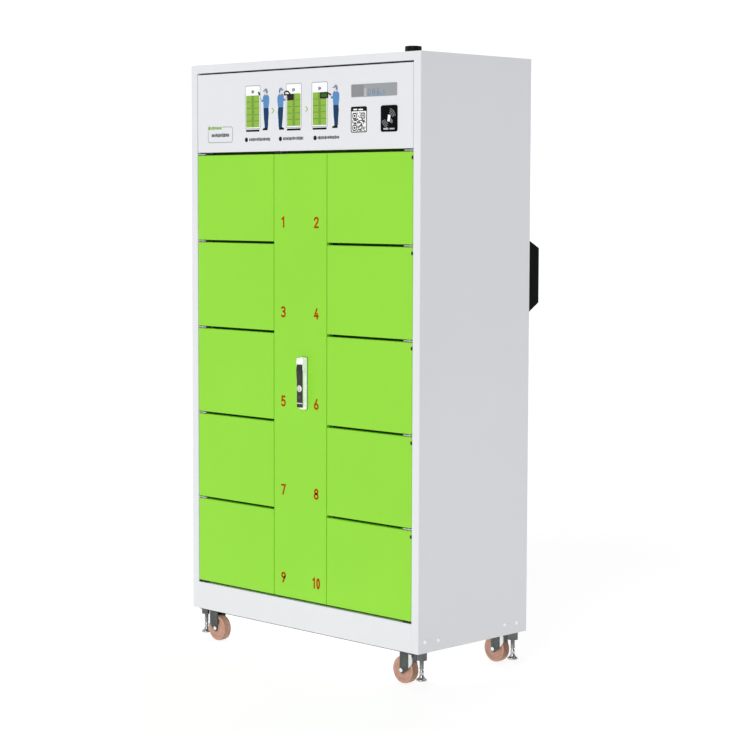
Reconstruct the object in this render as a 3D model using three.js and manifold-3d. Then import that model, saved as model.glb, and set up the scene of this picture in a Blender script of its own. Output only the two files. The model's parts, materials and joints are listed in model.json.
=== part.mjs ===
// Charging locker kiosk: a steel cabinet on casters with ten compartments in
// two columns, a service column between them, and an electronics bay on top.
//
// Units are millimetres, +Z is up and the doors face -Y. Inside the inner group
// the origin is the body's front left bottom corner (X to the right, Y to the
// back, Z up from the underside of the body); the group then moves it so that
// the origin is the middle of the footprint on the floor.
import * as THREE from 'three';
import { mergeVertices } from 'three/addons/utils/BufferGeometryUtils.js';
import Module from 'manifold-3d';

const wasm = await Module();
wasm.setup();

// ---------------------------------------------------------------- dimensions
const BODY_W = 980, BODY_D = 474, BODY_H = 1700;
const FLOOR = 100;              // underside of the body above the floor
const SHEET = 1.2;              // folded steel sheet
const GAP = 0.3;                // clearance between pieces that touch
const STILE = 28;               // face width of the side panel's front fold
const LIP = 20;                 // depth of the inner lip behind the front folds
const TOP_RAIL = 25;            // face height of the top panel's front fold
const PLINTH = 84;              // face height of the plinth
const ROW_BOTTOM = 87, ROW_TOP = 1426, ROWS = 5;
const PITCH = (ROW_TOP - ROW_BOTTOM) / ROWS;
const DOOR_GAP = 7.6;           // between two doors of one column
const DOOR_Y = 1;               // front skin of every door
const PAN = 18;                 // depth of a folded door pan
const LEFT_X0 = 30, LEFT_X1 = 376;
const MID_X0 = 378, MID_X1 = 604;
const RIGHT_X0 = 606, RIGHT_X1 = 950;
const PIN_INSET = 14;           // pin axis in from a door's hinge edge
const PIN_BACK = 6.5;           // pin axis behind the door's front skin
const PIN_R = 2.5, PIN_HOLE_R = 3.0;
const PIN_Y = DOOR_Y + PIN_BACK;
const HEAD_Z0 = 1431, HEAD_Z1 = 1670;
const SHELF_T = 12, SHELF_Y0 = 30, SHELF_Y1 = 429.5;
const BACK_Y = 430;             // charger backplane
const SOCKET_D = 22, SOCKET_W = 70, SOCKET_H = 56;
const LOCK_X = 15, LOCK_Y0 = 24.5, LOCK_Y1 = 94, LOCK_H = 50;
const STRIKE_T = 2.5, STRIKE_H = 16, STRIKE_TIP = 37;
const HANDLE_X = 511.5, SPINDLE_Z = 807, SPINDLE_R = 7;
const TILT_Z = 788, TILT_Y = -15;
const HOOD_X0 = 758, HOOD_X1 = 958, HOOD_OUT = 69.5;
const FAN_X = 858, FAN_Z = 1061, FAN_SIZE = 120, FAN_T = 25;
const WHEEL_R = 40, WHEEL_W = 26, HUB_Y = 14.2, AXLE_R = 6, TRAIL = 18;
const FORK_IN = 14.8, FORK_OUT = 17.4;   // inner and outer faces of the fork legs
const SWIVEL_X = 66, SWIVEL_Y = 38;   // swivel axis in from the side and the front
const FOOT_X = 21, FOOT_Y = 38, FOOT_LIFT = 16, BOSS_R = 15.5, STEM_R = 6.5;
const INLET_X = 120, INLET_Z = 60;    // mains gland in the rear panel
const FRONT_MOST = -21.5;       // face of the key cylinder
const REAR_MOST = 472.7 + HOOD_OUT;
const Y_MID = (FRONT_MOST + REAR_MOST) / 2;

// ------------------------------------------------------------------- helpers
function solid(geometry) {
  const g = geometry.clone();
  for (const name of Object.keys(g.attributes)) if (name !== 'position') g.deleteAttribute(name);
  const m = mergeVertices(g, 1e-4);
  const index = m.index.array;
  const tri = [];
  for (let i = 0; i < index.length; i += 3) {
    const [a, b, c] = [index[i], index[i + 1], index[i + 2]];
    if (a !== b && b !== c && a !== c) tri.push(a, b, c);
  }
  return new wasm.Manifold(new wasm.Mesh({
    numProp: 3,
    vertProperties: new Float32Array(m.attributes.position.array),
    triVerts: new Uint32Array(tri),
  }));
}
function geometryOf(manifold) {
  const mesh = manifold.getMesh();
  const g = new THREE.BufferGeometry();
  g.setAttribute('position', new THREE.BufferAttribute(new Float32Array(mesh.vertProperties), 3));
  g.setIndex(new THREE.BufferAttribute(new Uint32Array(mesh.triVerts), 1));
  return g;
}
// box from its limits
function box(x0, x1, y0, y1, z0, z1) {
  const g = new THREE.BoxGeometry(x1 - x0, y1 - y0, z1 - z0);
  g.translate((x0 + x1) / 2, (y0 + y1) / 2, (z0 + z1) / 2);
  return solid(g);
}
// cylinder along an axis, between two stations on it
function rod(axis, r, a, b, p, q, sides = 16) {
  const g = new THREE.CylinderGeometry(r, r, b - a, sides);
  const m = (a + b) / 2;
  if (axis === 'x') { g.rotateZ(Math.PI / 2); g.translate(m, p, q); }
  if (axis === 'y') g.translate(p, m, q);
  if (axis === 'z') { g.rotateX(Math.PI / 2); g.translate(p, q, m); }
  return solid(g);
}
// prism of an outline in XZ, between y0 and y1
function plateXZ(points, y0, y1) {
  const shape = new THREE.Shape(points.map(([x, z]) => new THREE.Vector2(x, z)));
  const g = new THREE.ExtrudeGeometry(shape, { depth: y1 - y0, bevelEnabled: false });
  g.rotateX(Math.PI / 2);       // outline Y becomes Z, depth runs to -Y
  g.translate(0, y1, 0);
  return solid(g);
}
// prism of an outline in XY, between z0 and z1
function plateXY(points, z0, z1) {
  const shape = new THREE.Shape(points.map(([x, y]) => new THREE.Vector2(x, y)));
  const g = new THREE.ExtrudeGeometry(shape, { depth: z1 - z0, bevelEnabled: false });
  g.translate(0, 0, z0);
  return solid(g);
}
// prism of an outline in YZ, between x0 and x1
function plateYZ(points, x0, x1) {
  const shape = new THREE.Shape(points.map(([y, z]) => new THREE.Vector2(y, z)));
  const g = new THREE.ExtrudeGeometry(shape, { depth: x1 - x0, bevelEnabled: false });
  g.rotateY(Math.PI / 2);       // depth runs along X, outline X to -Z
  g.rotateX(Math.PI / 2);       // outline Y to +Z, outline X to +Y
  g.translate(x0, 0, 0);
  return solid(g);
}
// turned body: profile of [radius, height] pairs about Z
function turned(profile, cx, cy, sides = 24) {
  const g = new THREE.LatheGeometry(profile.map(([r, z]) => new THREE.Vector2(r, z)), sides);
  g.rotateX(Math.PI / 2);
  g.translate(cx, cy, 0);
  return solid(g);
}
const join = (...parts) => parts.reduce((a, b) => a.add(b));
// outline of a rectangle with rounded corners
function roundedRect(x0, x1, z0, z1, r, steps = 3) {
  const out = [];
  for (const [cx, cz, a0] of [[x1 - r, z1 - r, 0], [x0 + r, z1 - r, 90], [x0 + r, z0 + r, 180], [x1 - r, z0 + r, 270]])
    for (let i = 0; i <= steps; i++) {
      const a = (a0 + (90 * i) / steps) * Math.PI / 180;
      out.push([cx + r * Math.cos(a), cz + r * Math.sin(a)]);
    }
  return out;
}

// ----------------------------------------------------------------- materials
const paint = (color, roughness = 0.38) => new THREE.MeshStandardMaterial({ color, roughness, metalness: 0.0 });
const WHITE = paint(0xecedf1), GREEN = paint(0x9be746), BLACK = paint(0x16181a, 0.5), DARK = paint(0x3c4044, 0.45);
const ZINC = new THREE.MeshStandardMaterial({ color: 0xb9bcc0, roughness: 0.35, metalness: 0.9 });
const CHROME = new THREE.MeshStandardMaterial({ color: 0xd9dcdf, roughness: 0.12, metalness: 1.0 });
const GLASS = new THREE.MeshStandardMaterial({ color: 0xa7afb5, roughness: 0.1, metalness: 0.0 });
const NYLON = paint(0xc3967f, 0.55);

const body = new THREE.Group();
function node(name, manifold, material) {
  const mesh = new THREE.Mesh(geometryOf(manifold), material);
  mesh.name = name;
  body.add(mesh);
  return mesh;
}
// mirror left to right about the middle of the body
function mirrored(manifold) { return manifold.mirror([1, 0, 0]).translate([BODY_W, 0, 0]); }

// ------------------------------------------------------------ cabinet shell
// Side panel: outer skin, front fold that makes the stile, inner lip and rear
// fold, with the stub pin that the header flap turns on.
const sideLeft = join(
  plateXY([[0, 0], [STILE, 0], [STILE, LIP], [STILE - SHEET, LIP], [STILE - SHEET, SHEET], [SHEET, SHEET], [SHEET, BODY_D - SHEET],
    [20, BODY_D - SHEET], [20, BODY_D], [0, BODY_D]], 0, BODY_H),
  rod('x', PIN_R, STILE - SHEET / 2, 36, PIN_Y, HEAD_Z1 - PIN_INSET, 12),
);
node('side_panel_left', sideLeft, WHITE);
node('side_panel_right', mirrored(sideLeft), WHITE);

// Top panel: tray with a front fold between the stiles.
const sx0 = STILE + GAP, sx1 = BODY_W - STILE - GAP;
const topHoleX = 856, topHoleY = 100;
// outline of a plate that fills the body between the folds of the side panels
function inside(y1) {
  const e = SHEET + GAP, c = STILE - SHEET - GAP, w = BODY_W;
  return [[e, e], [c, e], [c, LIP + GAP], [sx0, LIP + GAP], [sx0, 0], [sx1, 0], [sx1, LIP + GAP], [w - c, LIP + GAP], [w - c, e], [w - e, e], [w - e, y1], [e, y1]];
}
node('top_panel', join(
  plateXY(inside(BODY_D - SHEET - GAP), BODY_H - SHEET, BODY_H),
  box(sx0, sx1, 0, SHEET, BODY_H - TOP_RAIL, BODY_H),
  box(sx0, sx1, 0, LIP, BODY_H - TOP_RAIL, BODY_H - TOP_RAIL + SHEET),
).subtract(rod('z', 5.5, BODY_H - 5, BODY_H + 5, topHoleX, topHoleY)), WHITE);

// Base frame: bottom plate, plinth with its top fold, the lower pivot pin of
// the service door, four caster pads and four threaded bosses for the feet.
let base = join(
  plateXY(inside(BODY_D - SHEET - GAP), 0, 2),
  box(sx0, sx1, 0, SHEET, 0, PLINTH),
  box(sx0, sx1, 0, LIP, PLINTH - SHEET, PLINTH),
  rod('z', PIN_R, PLINTH - SHEET / 2, 100, MID_X0 + PIN_INSET, PIN_Y, 8),
);
const corners = [
  ['front_left', SWIVEL_X, SWIVEL_Y, FOOT_X, FOOT_Y, 1],
  ['front_right', BODY_W - SWIVEL_X, SWIVEL_Y, BODY_W - FOOT_X, FOOT_Y, -1],
  ['rear_left', SWIVEL_X, BODY_D - SWIVEL_Y, FOOT_X, BODY_D - FOOT_Y, 1],
  ['rear_right', BODY_W - SWIVEL_X, BODY_D - SWIVEL_Y, BODY_W - FOOT_X, BODY_D - FOOT_Y, -1],
];
for (const [, px, py, fx, fy] of corners) {
  base = join(base, box(px - 29, px + 29, py - 30, py + 30, -4, 0.5), rod('z', BOSS_R, -24, 1, fx, fy, 16))
    .subtract(rod('z', STEM_R + 0.5, -30, 5, fx, fy, 16));
}
node('base_frame', base, WHITE);

// Rear panel with the round fan opening and the gland for the mains lead.
node('rear_panel', box(SHEET + GAP, BODY_W - SHEET - GAP, BODY_D - 2 * SHEET - GAP, BODY_D - SHEET - GAP, 2.5, BODY_H - SHEET - GAP)
  .subtract(rod('y', 57, BODY_D - 10, BODY_D + 10, FAN_X, FAN_Z, 32))
  .add(rod('y', 13, BODY_D - SHEET - GAP - 0.5, BODY_D + 12, INLET_X, INLET_Z, 12))
  .subtract(rod('y', 5, BODY_D - 10, BODY_D + 20, INLET_X, INLET_Z, 12)), WHITE);

// Trays: folded pans open underneath. Compartment floor, shelves and the floor
// of the electronics bay, which carries the service door's upper pivot pin.
function tray(x0, x1, zTop) {
  return box(x0, x1, SHELF_Y0, SHELF_Y1, zTop - SHELF_T, zTop)
    .subtract(box(x0 + SHEET, x1 - SHEET, SHELF_Y0 + SHEET, SHELF_Y1 - SHEET, zTop - SHELF_T - 1, zTop - SHEET));
}
const inX0 = SHEET + GAP, inX1 = BODY_W - SHEET - GAP;
node('floor_panel', tray(inX0, inX1, ROW_BOTTOM + SHELF_T / 2), WHITE);
const pivotX = MID_X0 + PIN_INSET;
node('header_floor', join(
  tray(inX0, inX1, ROW_TOP + SHELF_T / 2),
  box(pivotX - 14, pivotX + 14, 2, SHELF_Y0 + 0.6, ROW_TOP - 1.5, ROW_TOP + 1.5),
  rod('z', PIN_R, 1410, ROW_TOP, pivotX, PIN_Y, 8)), WHITE);
const DIV_L = [LEFT_X1 - 1.5, LEFT_X1], DIV_R = [RIGHT_X0, RIGHT_X0 + 1.5];
const shelfL = [inX0, DIV_L[0] - 2.1], shelfR = [DIV_R[1] + 2.1, inX1];
for (let i = 1; i < ROWS; i++) {
  const z = ROW_TOP - i * PITCH + SHELF_T / 2;
  node(`shelf_left_${i}`, tray(...shelfL, z), WHITE);
  node(`shelf_right_${i}`, tray(...shelfR, z), WHITE);
}

// Dividers between the compartments and the service column.
const divZ0 = ROW_BOTTOM + SHELF_T / 2 + GAP, divZ1 = ROW_TOP - SHELF_T / 2 - GAP;
node('divider_left', box(...DIV_L, 22, SHELF_Y1, divZ0, divZ1), WHITE);
node('divider_right', box(...DIV_R, 22, SHELF_Y1, divZ0, divZ1), WHITE);

// Charger backplanes with one socket block for each compartment.
function backplane(x0, x1) {
  const cx = (x0 + x1) / 2;
  let p = box(x0, x1, BACK_Y, BACK_Y + 2, divZ0, divZ1);
  for (let i = 0; i < ROWS; i++) {
    const z = ROW_BOTTOM + (i + 0.5) * PITCH;
    p = p.add(plateXZ(roundedRect(cx - SOCKET_W / 2, cx + SOCKET_W / 2, z - SOCKET_H / 2, z + SOCKET_H / 2, 6), BACK_Y - SOCKET_D, BACK_Y + 0.5));
  }
  return p;
}
node('charger_backplane_left', backplane(inX0, LEFT_X1 + 6), WHITE);
node('charger_backplane_right', backplane(RIGHT_X0 - 6, inX1), WHITE);

// Hinge rails: a strip behind the stile with a tab in every gap between the
// doors, and pins up and down from the tabs.
function hingeRail() {
  let r = box(STILE + GAP, 40, 27, 29, ROW_BOTTOM + SHELF_T / 2 + GAP - 8, ROW_TOP - 1.5);
  r = r.add(box(STILE + GAP, 40, 27, 29, ROW_BOTTOM - 1.5, ROW_TOP));
  for (let i = 0; i <= ROWS; i++) {
    const z = ROW_BOTTOM + i * PITCH, px = LEFT_X0 + PIN_INSET;
    r = r.add(box(STILE + GAP, 64, 2, 29, z - 1.5, z + 1.5));
    r = r.add(rod('z', PIN_R, i === 0 ? z : z - 12, i === ROWS ? z : z + 12, px, PIN_Y, 8));
  }
  return r;
}
const rail = hingeRail();
node('hinge_rail_left', rail, ZINC);
node('hinge_rail_right', mirrored(rail), ZINC);

// Lock strips: a plate on the divider with five electric lock cases, each with
// a slot for the striker of its door.
const STRIKE_X = 366;           // striker of the left doors
function lockStrip() {
  const xa = DIV_L[0] - GAP;
  let s = box(xa - SHEET, xa, LOCK_Y0, LOCK_Y1 + 6, divZ0 + 4, divZ1 - 4);
  for (let i = 0; i < ROWS; i++) {
    const z = ROW_BOTTOM + (i + 0.5) * PITCH;
    s = s.add(box(xa - LOCK_X, xa - 0.5, LOCK_Y0, LOCK_Y1, z - LOCK_H / 2, z + LOCK_H / 2));
    s = s.subtract(box(STRIKE_X - 3, STRIKE_X + 3.5, LOCK_Y0 - 1, LOCK_Y0 + 18, z - 12, z + 12));
  }
  return s;
}
const locks = lockStrip();
node('lock_strip_left', locks, DARK);
const RIGHT_SHIFT = RIGHT_X0 - (BODY_W - LEFT_X1);
node('lock_strip_right', mirrored(locks).translate([RIGHT_SHIFT, 0, 0]), DARK);

// ------------------------------------------------------------------- doors
// A door pan: front skin with four folded edges, open at the back.
function pan(x0, x1, z0, z1) {
  return box(x0, x1, DOOR_Y, DOOR_Y + PAN, z0, z1)
    .subtract(box(x0 + SHEET, x1 - SHEET, DOOR_Y + SHEET, DOOR_Y + PAN + 1, z0 + SHEET, z1 - SHEET));
}
function compartmentDoor(row, right) {
  const x0 = right ? RIGHT_X0 : LEFT_X0, x1 = right ? RIGHT_X1 : LEFT_X1;
  const z1 = ROW_TOP - row * PITCH - DOOR_GAP / 2, z0 = ROW_TOP - (row + 1) * PITCH + DOOR_GAP / 2;
  const px = right ? x1 - PIN_INSET : x0 + PIN_INSET;
  const sx = right ? BODY_W - STRIKE_X + RIGHT_SHIFT : STRIKE_X, zm = (z0 + z1) / 2;
  return pan(x0, x1, z0, z1)
    .add(box(sx - STRIKE_T / 2, sx + STRIKE_T / 2, DOOR_Y + SHEET / 2, STRIKE_TIP, zm - STRIKE_H / 2, zm + STRIKE_H / 2))
    .subtract(rod('z', PIN_HOLE_R, z0 - 5, z0 + 5, px, PIN_Y, 12))
    .subtract(rod('z', PIN_HOLE_R, z1 - 5, z1 + 5, px, PIN_Y, 12));
}
for (let row = 0; row < ROWS; row++) {
  node(`door_${2 * row + 1}`, compartmentDoor(row, false), GREEN);
  node(`door_${2 * row + 2}`, compartmentDoor(row, true), GREEN);
}
const midZ0 = ROW_BOTTOM + DOOR_GAP / 2, midZ1 = ROW_TOP - DOOR_GAP / 2;
node('service_door', pan(MID_X0, MID_X1, midZ0, midZ1)
  .subtract(rod('z', PIN_HOLE_R, midZ0 - 5, midZ0 + 5, pivotX, PIN_Y, 12))
  .subtract(rod('z', PIN_HOLE_R, midZ1 - 5, midZ1 + 5, pivotX, PIN_Y, 12))
  .subtract(rod('y', SPINDLE_R + 0.6, DOOR_Y - 5, DOOR_Y + 5, HANDLE_X, SPINDLE_Z, 24)), GREEN);

// Swing handle: base dish, spindle with its head and hinge tongue, lever, key
// cylinder and the latch cam behind the door.
node('handle_base', plateXZ(roundedRect(HANDLE_X - 12.5, HANDLE_X + 12.5, 666, 821, 6), -8, DOOR_Y - GAP)
  .subtract(rod('y', SPINDLE_R + 0.6, -12, 5, HANDLE_X, SPINDLE_Z, 24)), CHROME);
node('handle_spindle', join(
  rod('y', SPINDLE_R, -10, 25, HANDLE_X, SPINDLE_Z, 24),
  rod('y', 10, 24.4, 30, HANDLE_X, SPINDLE_Z, 6),
  plateXZ(roundedRect(HANDLE_X - 12, HANDLE_X + 12, 795, 819, 5), -20, -8.6),
  box(HANDLE_X - 5, HANDLE_X + 5, -19, -11.5, TILT_Z - 6, 797),
  rod('x', 2.5, HANDLE_X - 10.5, HANDLE_X + 10.5, TILT_Y, TILT_Z, 12),
), CHROME);
node('handle_lever', plateXZ([
  [HANDLE_X - 12, 792], [HANDLE_X - 12, 772], [HANDLE_X - 10.5, 742], [HANDLE_X - 10.5, 676], [HANDLE_X - 6.5, 668],
  [HANDLE_X + 6.5, 668], [HANDLE_X + 10.5, 676], [HANDLE_X + 10.5, 742], [HANDLE_X + 12, 772], [HANDLE_X + 12, 792]], -20, -10)
  .subtract(box(HANDLE_X - 5.5, HANDLE_X + 5.5, -25, -5, 775, 800))
  .subtract(rod('x', 2.9, HANDLE_X - 11, HANDLE_X + 11, TILT_Y, TILT_Z, 16))
  .subtract(rod('y', 8.3, -25, -5, HANDLE_X, 729, 24)), BLACK);
node('key_cylinder', rod('y', 8, FRONT_MOST, -10.4, HANDLE_X, 729, 24), CHROME);
node('latch_cam', plateXZ([[HANDLE_X - 12, SPINDLE_Z - 12], [HANDLE_X + 14, SPINDLE_Z - 12], [HANDLE_X + 70, SPINDLE_Z - 8],
  [HANDLE_X + 70, SPINDLE_Z + 8], [HANDLE_X + 14, SPINDLE_Z + 12], [HANDLE_X - 12, SPINDLE_Z + 12]], 21, 24)
  .subtract(rod('y', SPINDLE_R + 0.3, 15, 30, HANDLE_X, SPINDLE_Z, 24)), ZINC);

// ------------------------------------------------------------------ header
node('header_panel', pan(LEFT_X0, RIGHT_X1, HEAD_Z0, HEAD_Z1)
  .subtract(box(704.7, 888.3, DOOR_Y - 2, DOOR_Y + 4, 1579.7, 1616.3))
  .subtract(box(824.7, 890.3, DOOR_Y - 2, DOOR_Y + 4, 1478.7, 1553.3))
  .subtract(rod('x', PIN_HOLE_R, LEFT_X0 - 3, LEFT_X0 + 3, PIN_Y, HEAD_Z1 - PIN_INSET, 12))
  .subtract(rod('x', PIN_HOLE_R, RIGHT_X1 - 3, RIGHT_X1 + 3, PIN_Y, HEAD_Z1 - PIN_INSET, 12)), WHITE);
node('display_window', box(705, 888, DOOR_Y + 0.2, DOOR_Y + 9, 1580, 1616), GLASS);
node('card_reader', plateXZ(roundedRect(825, 890, 1479, 1553, 6), DOOR_Y - 2, DOOR_Y + 14), BLACK);
node('control_box', box(540, 780, 120, 260, ROW_TOP + SHELF_T / 2 + GAP, 1512), DARK);
node('power_supply', box(150, 370, 200, 310, ROW_TOP + SHELF_T / 2 + GAP, 1484), ZINC);
node('antenna', turned([[0, 1688], [5, 1688], [5, BODY_H + GAP], [24, BODY_H + GAP], [24, 1716], [21, 1722], [14, 1725], [0, 1725]], topHoleX, topHoleY, 16), BLACK);

// --------------------------------------------------------------- ventilation
const fy0 = BODY_D - 2 * SHEET - 2 * GAP - FAN_T, fy1 = BODY_D - 2 * SHEET - 2 * GAP, fh = FAN_SIZE / 2;
node('fan_frame', join(
  plateXZ(roundedRect(FAN_X - fh, FAN_X + fh, FAN_Z - fh, FAN_Z + fh, 5), fy0, fy1)
    .subtract(rod('y', 57, fy0 - 5, fy1 + 5, FAN_X, FAN_Z, 32)),
  box(FAN_X - 58, FAN_X + 58, fy0, fy0 + 4, FAN_Z - 4, FAN_Z + 4),
  box(FAN_X - 4, FAN_X + 4, fy0, fy0 + 4, FAN_Z - 58, FAN_Z + 58),
  rod('y', 20, fy0, fy0 + 5, FAN_X, FAN_Z, 24)), BLACK);
const blades = [];
for (let i = 0; i < 7; i++) for (const [r, a] of [[20, 4], [52, 14], [53, 30], [51, 44], [20, 40]]) {
  const t = (i * 360 / 7 + a) * Math.PI / 180;
  blades.push([FAN_X + r * Math.cos(t), FAN_Z + r * Math.sin(t)]);
}
node('fan_rotor', join(plateXZ(blades, fy0 + 10, fy1 - 4), rod('y', 21, fy0 + 6, fy1 - 3, FAN_X, FAN_Z, 24)), DARK);
// Hood over the fan: sloped above and below, open towards the rear panel, with
// air slots through its lower slope.
const hy0 = BODY_D - SHEET - GAP + 0.2, hy1 = hy0 + HOOD_OUT;
let hood = plateYZ([[hy0, 939], [hy1, 982], [hy1, 1145], [hy0, 1181]], HOOD_X0, HOOD_X1)
  .subtract(plateYZ([[hy0 - 1, 941], [hy1 - 2, 984], [hy1 - 2, 1143], [hy0 - 1, 1178.5]], HOOD_X0 + 2, HOOD_X1 - 2));
for (let i = 0; i < 4; i++) {
  const y = hy0 + 10 + i * 12;
  hood = hood.subtract(box(HOOD_X0 + 18, HOOD_X1 - 18, y, y + 5, 945, 1000));
}
node('vent_hood', hood, BLACK);

// ---------------------------------------------------------- casters and feet
// The wheel has flats round its tread, one of them on the floor.
const SIDES = 24, flatR = WHEEL_R / Math.cos(Math.PI / SIDES);
function wheel(cx, cy) {
  const g = new THREE.LatheGeometry([[6.4, -HUB_Y], [12, -HUB_Y], [14, -9], [28, -9], [31, -WHEEL_W / 2], [flatR - 2, -WHEEL_W / 2],
    [flatR, -WHEEL_W / 2 + 2], [flatR, WHEEL_W / 2 - 2], [flatR - 2, WHEEL_W / 2], [31, WHEEL_W / 2], [28, 9], [14, 9], [12, HUB_Y], [6.4, HUB_Y], [6.4, -HUB_Y]]
    .map(([r, y]) => new THREE.Vector2(r, y)), SIDES);
  g.rotateY(Math.PI / SIDES);
  g.translate(cx, cy, -FLOOR + WHEEL_R);
  return solid(g);
}
function fork(px, py, s) {
  const z = -FLOOR + WHEEL_R, ax = px + s * TRAIL;
  const leg = [[px - s * 17, -8], [px - s * 17, -34], [ax - s * 10, z - 3], [ax - s * 6, z - 9], [ax + s * 4, z - 10], [ax + s * 9, z - 4],
    [ax + s * 9, z + 4], [px + s * 24, -34], [px + s * 22, -8]];
  const outline = s > 0 ? leg : leg.slice().reverse();
  return join(
    rod('z', 19, -8.5, -4.4, px, py, 16),
    plateXY([[px - 13, py - FORK_OUT], [px + 18, py - FORK_OUT], [px + 22, py - 13], [px + 22, py + 13], [px + 18, py + FORK_OUT], [px - 13, py + FORK_OUT], [px - 17, py + 13], [px - 17, py - 13]]
      .map(([x, y]) => [px + s * (x - px), y]), -12, -8),
    box(Math.min(px - s * 17, px - s * 14.6), Math.max(px - s * 17, px - s * 14.6), py - FORK_OUT + 2, py + FORK_OUT - 2, -33, -8.5),
    plateXZ(outline, py - FORK_OUT, py - FORK_IN), plateXZ(outline, py + FORK_IN, py + FORK_OUT),
    rod('y', AXLE_R, py - FORK_OUT - 2, py + FORK_OUT + 2, ax, z, 12),
    rod('y', 8, py - FORK_OUT - 4, py - FORK_OUT + 0.5, ax, z, 6), rod('y', 8, py + FORK_OUT - 0.5, py + FORK_OUT + 4, ax, z, 6));
}
const footZ = -FLOOR + FOOT_LIFT;
for (const [name, px, py, fx, fy, s] of corners) {
  node(`caster_fork_${name}`, fork(px, py, s), DARK);
  node(`caster_wheel_${name}`, wheel(px + s * TRAIL, py), NYLON);
  node(`levelling_foot_${name}`, turned([[0, footZ], [15.4, footZ], [15.4, footZ + 5], [11, footZ + 10], [6.5, footZ + 20], [4.8, footZ + 31], [STEM_R, footZ + 34], [STEM_R, 32], [STEM_R - 1, 34], [0, 34]], fx, fy, 16), CHROME);
}

body.position.set(-BODY_W / 2, -Y_MID, FLOOR);
const kiosk = new THREE.Group();
kiosk.add(body);
export default kiosk;
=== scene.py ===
import bpy, bmesh, math, json, random
from mathutils import Vector, Matrix

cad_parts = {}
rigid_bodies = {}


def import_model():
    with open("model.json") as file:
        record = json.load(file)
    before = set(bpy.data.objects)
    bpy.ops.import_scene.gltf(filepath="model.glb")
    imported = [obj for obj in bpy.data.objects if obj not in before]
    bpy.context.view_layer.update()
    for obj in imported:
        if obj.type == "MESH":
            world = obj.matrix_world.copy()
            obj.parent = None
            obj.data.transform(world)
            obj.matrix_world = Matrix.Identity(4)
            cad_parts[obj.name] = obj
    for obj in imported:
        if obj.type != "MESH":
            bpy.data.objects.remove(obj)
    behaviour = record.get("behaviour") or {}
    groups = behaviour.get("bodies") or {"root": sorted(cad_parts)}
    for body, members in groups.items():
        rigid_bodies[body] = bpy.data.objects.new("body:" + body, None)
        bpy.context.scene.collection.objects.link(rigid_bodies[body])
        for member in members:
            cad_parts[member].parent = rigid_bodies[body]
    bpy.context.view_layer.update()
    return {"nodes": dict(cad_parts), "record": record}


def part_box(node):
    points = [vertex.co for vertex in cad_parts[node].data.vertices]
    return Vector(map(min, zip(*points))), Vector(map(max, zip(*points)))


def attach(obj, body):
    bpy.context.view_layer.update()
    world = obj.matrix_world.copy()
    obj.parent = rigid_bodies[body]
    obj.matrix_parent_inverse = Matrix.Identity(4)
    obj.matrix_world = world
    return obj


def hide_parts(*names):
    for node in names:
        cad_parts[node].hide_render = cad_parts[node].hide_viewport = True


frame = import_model()
random.seed(7)
scene = bpy.context.scene
NODES = frame["nodes"]
NODE_BODY = {}
for _b, _ns in frame["record"]["behaviour"]["bodies"].items():
    for _n in _ns:
        NODE_BODY[_n] = _b

# Body frame: millimetres, origin at the body's front left bottom corner.
ORG = Vector((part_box("side_panel_left")[0].x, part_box("side_panel_left")[0].y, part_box("side_panel_left")[0].z))
TO_ROW = Matrix.Translation(ORG) @ Matrix.Scale(0.001, 4)


def mm(node):
    """A CAD node's box in body millimetres."""
    a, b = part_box(node)
    return (a - ORG) * 1000, (b - ORG) * 1000


BODY_W = mm("side_panel_right")[1].x
BODY_D = mm("side_panel_left")[1].y
BODY_H = mm("side_panel_left")[1].z

# ------------------------------------------------------------------ camera
YAW, PITCH, ROLL = math.radians(-44.78119658), math.radians(4.58887274), math.radians(0.15702402)
fwd = Vector((math.sin(YAW) * math.cos(PITCH), math.cos(YAW) * math.cos(PITCH), -math.sin(PITCH)))
right = Vector((math.cos(YAW), -math.sin(YAW), 0.0))
up = right.cross(fwd)
r2 = right * math.cos(ROLL) + up * math.sin(ROLL)
u2 = -right * math.sin(ROLL) + up * math.cos(ROLL)
cam_data = bpy.data.cameras.new("camera")
cam = bpy.data.objects.new("camera", cam_data)
scene.collection.objects.link(cam)
rot = Matrix((r2, u2, -fwd)).transposed().to_4x4()
cam.matrix_world = Matrix.Translation(ORG + Vector((4906.22478, -4173.20925, 1284.74217)) * 0.001) @ rot
cam_data.sensor_width = 36.0
cam_data.lens = 2048.7113 * 36.0 / 730.0
cam_data.clip_end = 200.0
scene.camera = cam
scene.view_settings.view_transform = "Standard"

# --------------------------------------------------------------- materials
def srgb(r, g, b):
    f = lambda c: ((c / 255) / 12.92) if c / 255 <= 0.04045 else (((c / 255) + 0.055) / 1.055) ** 2.4
    return (f(r), f(g), f(b), 1.0)


def shade(c, k):
    return (min(1, c[0] * k), min(1, c[1] * k), min(1, c[2] * k), 1.0)


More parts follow.
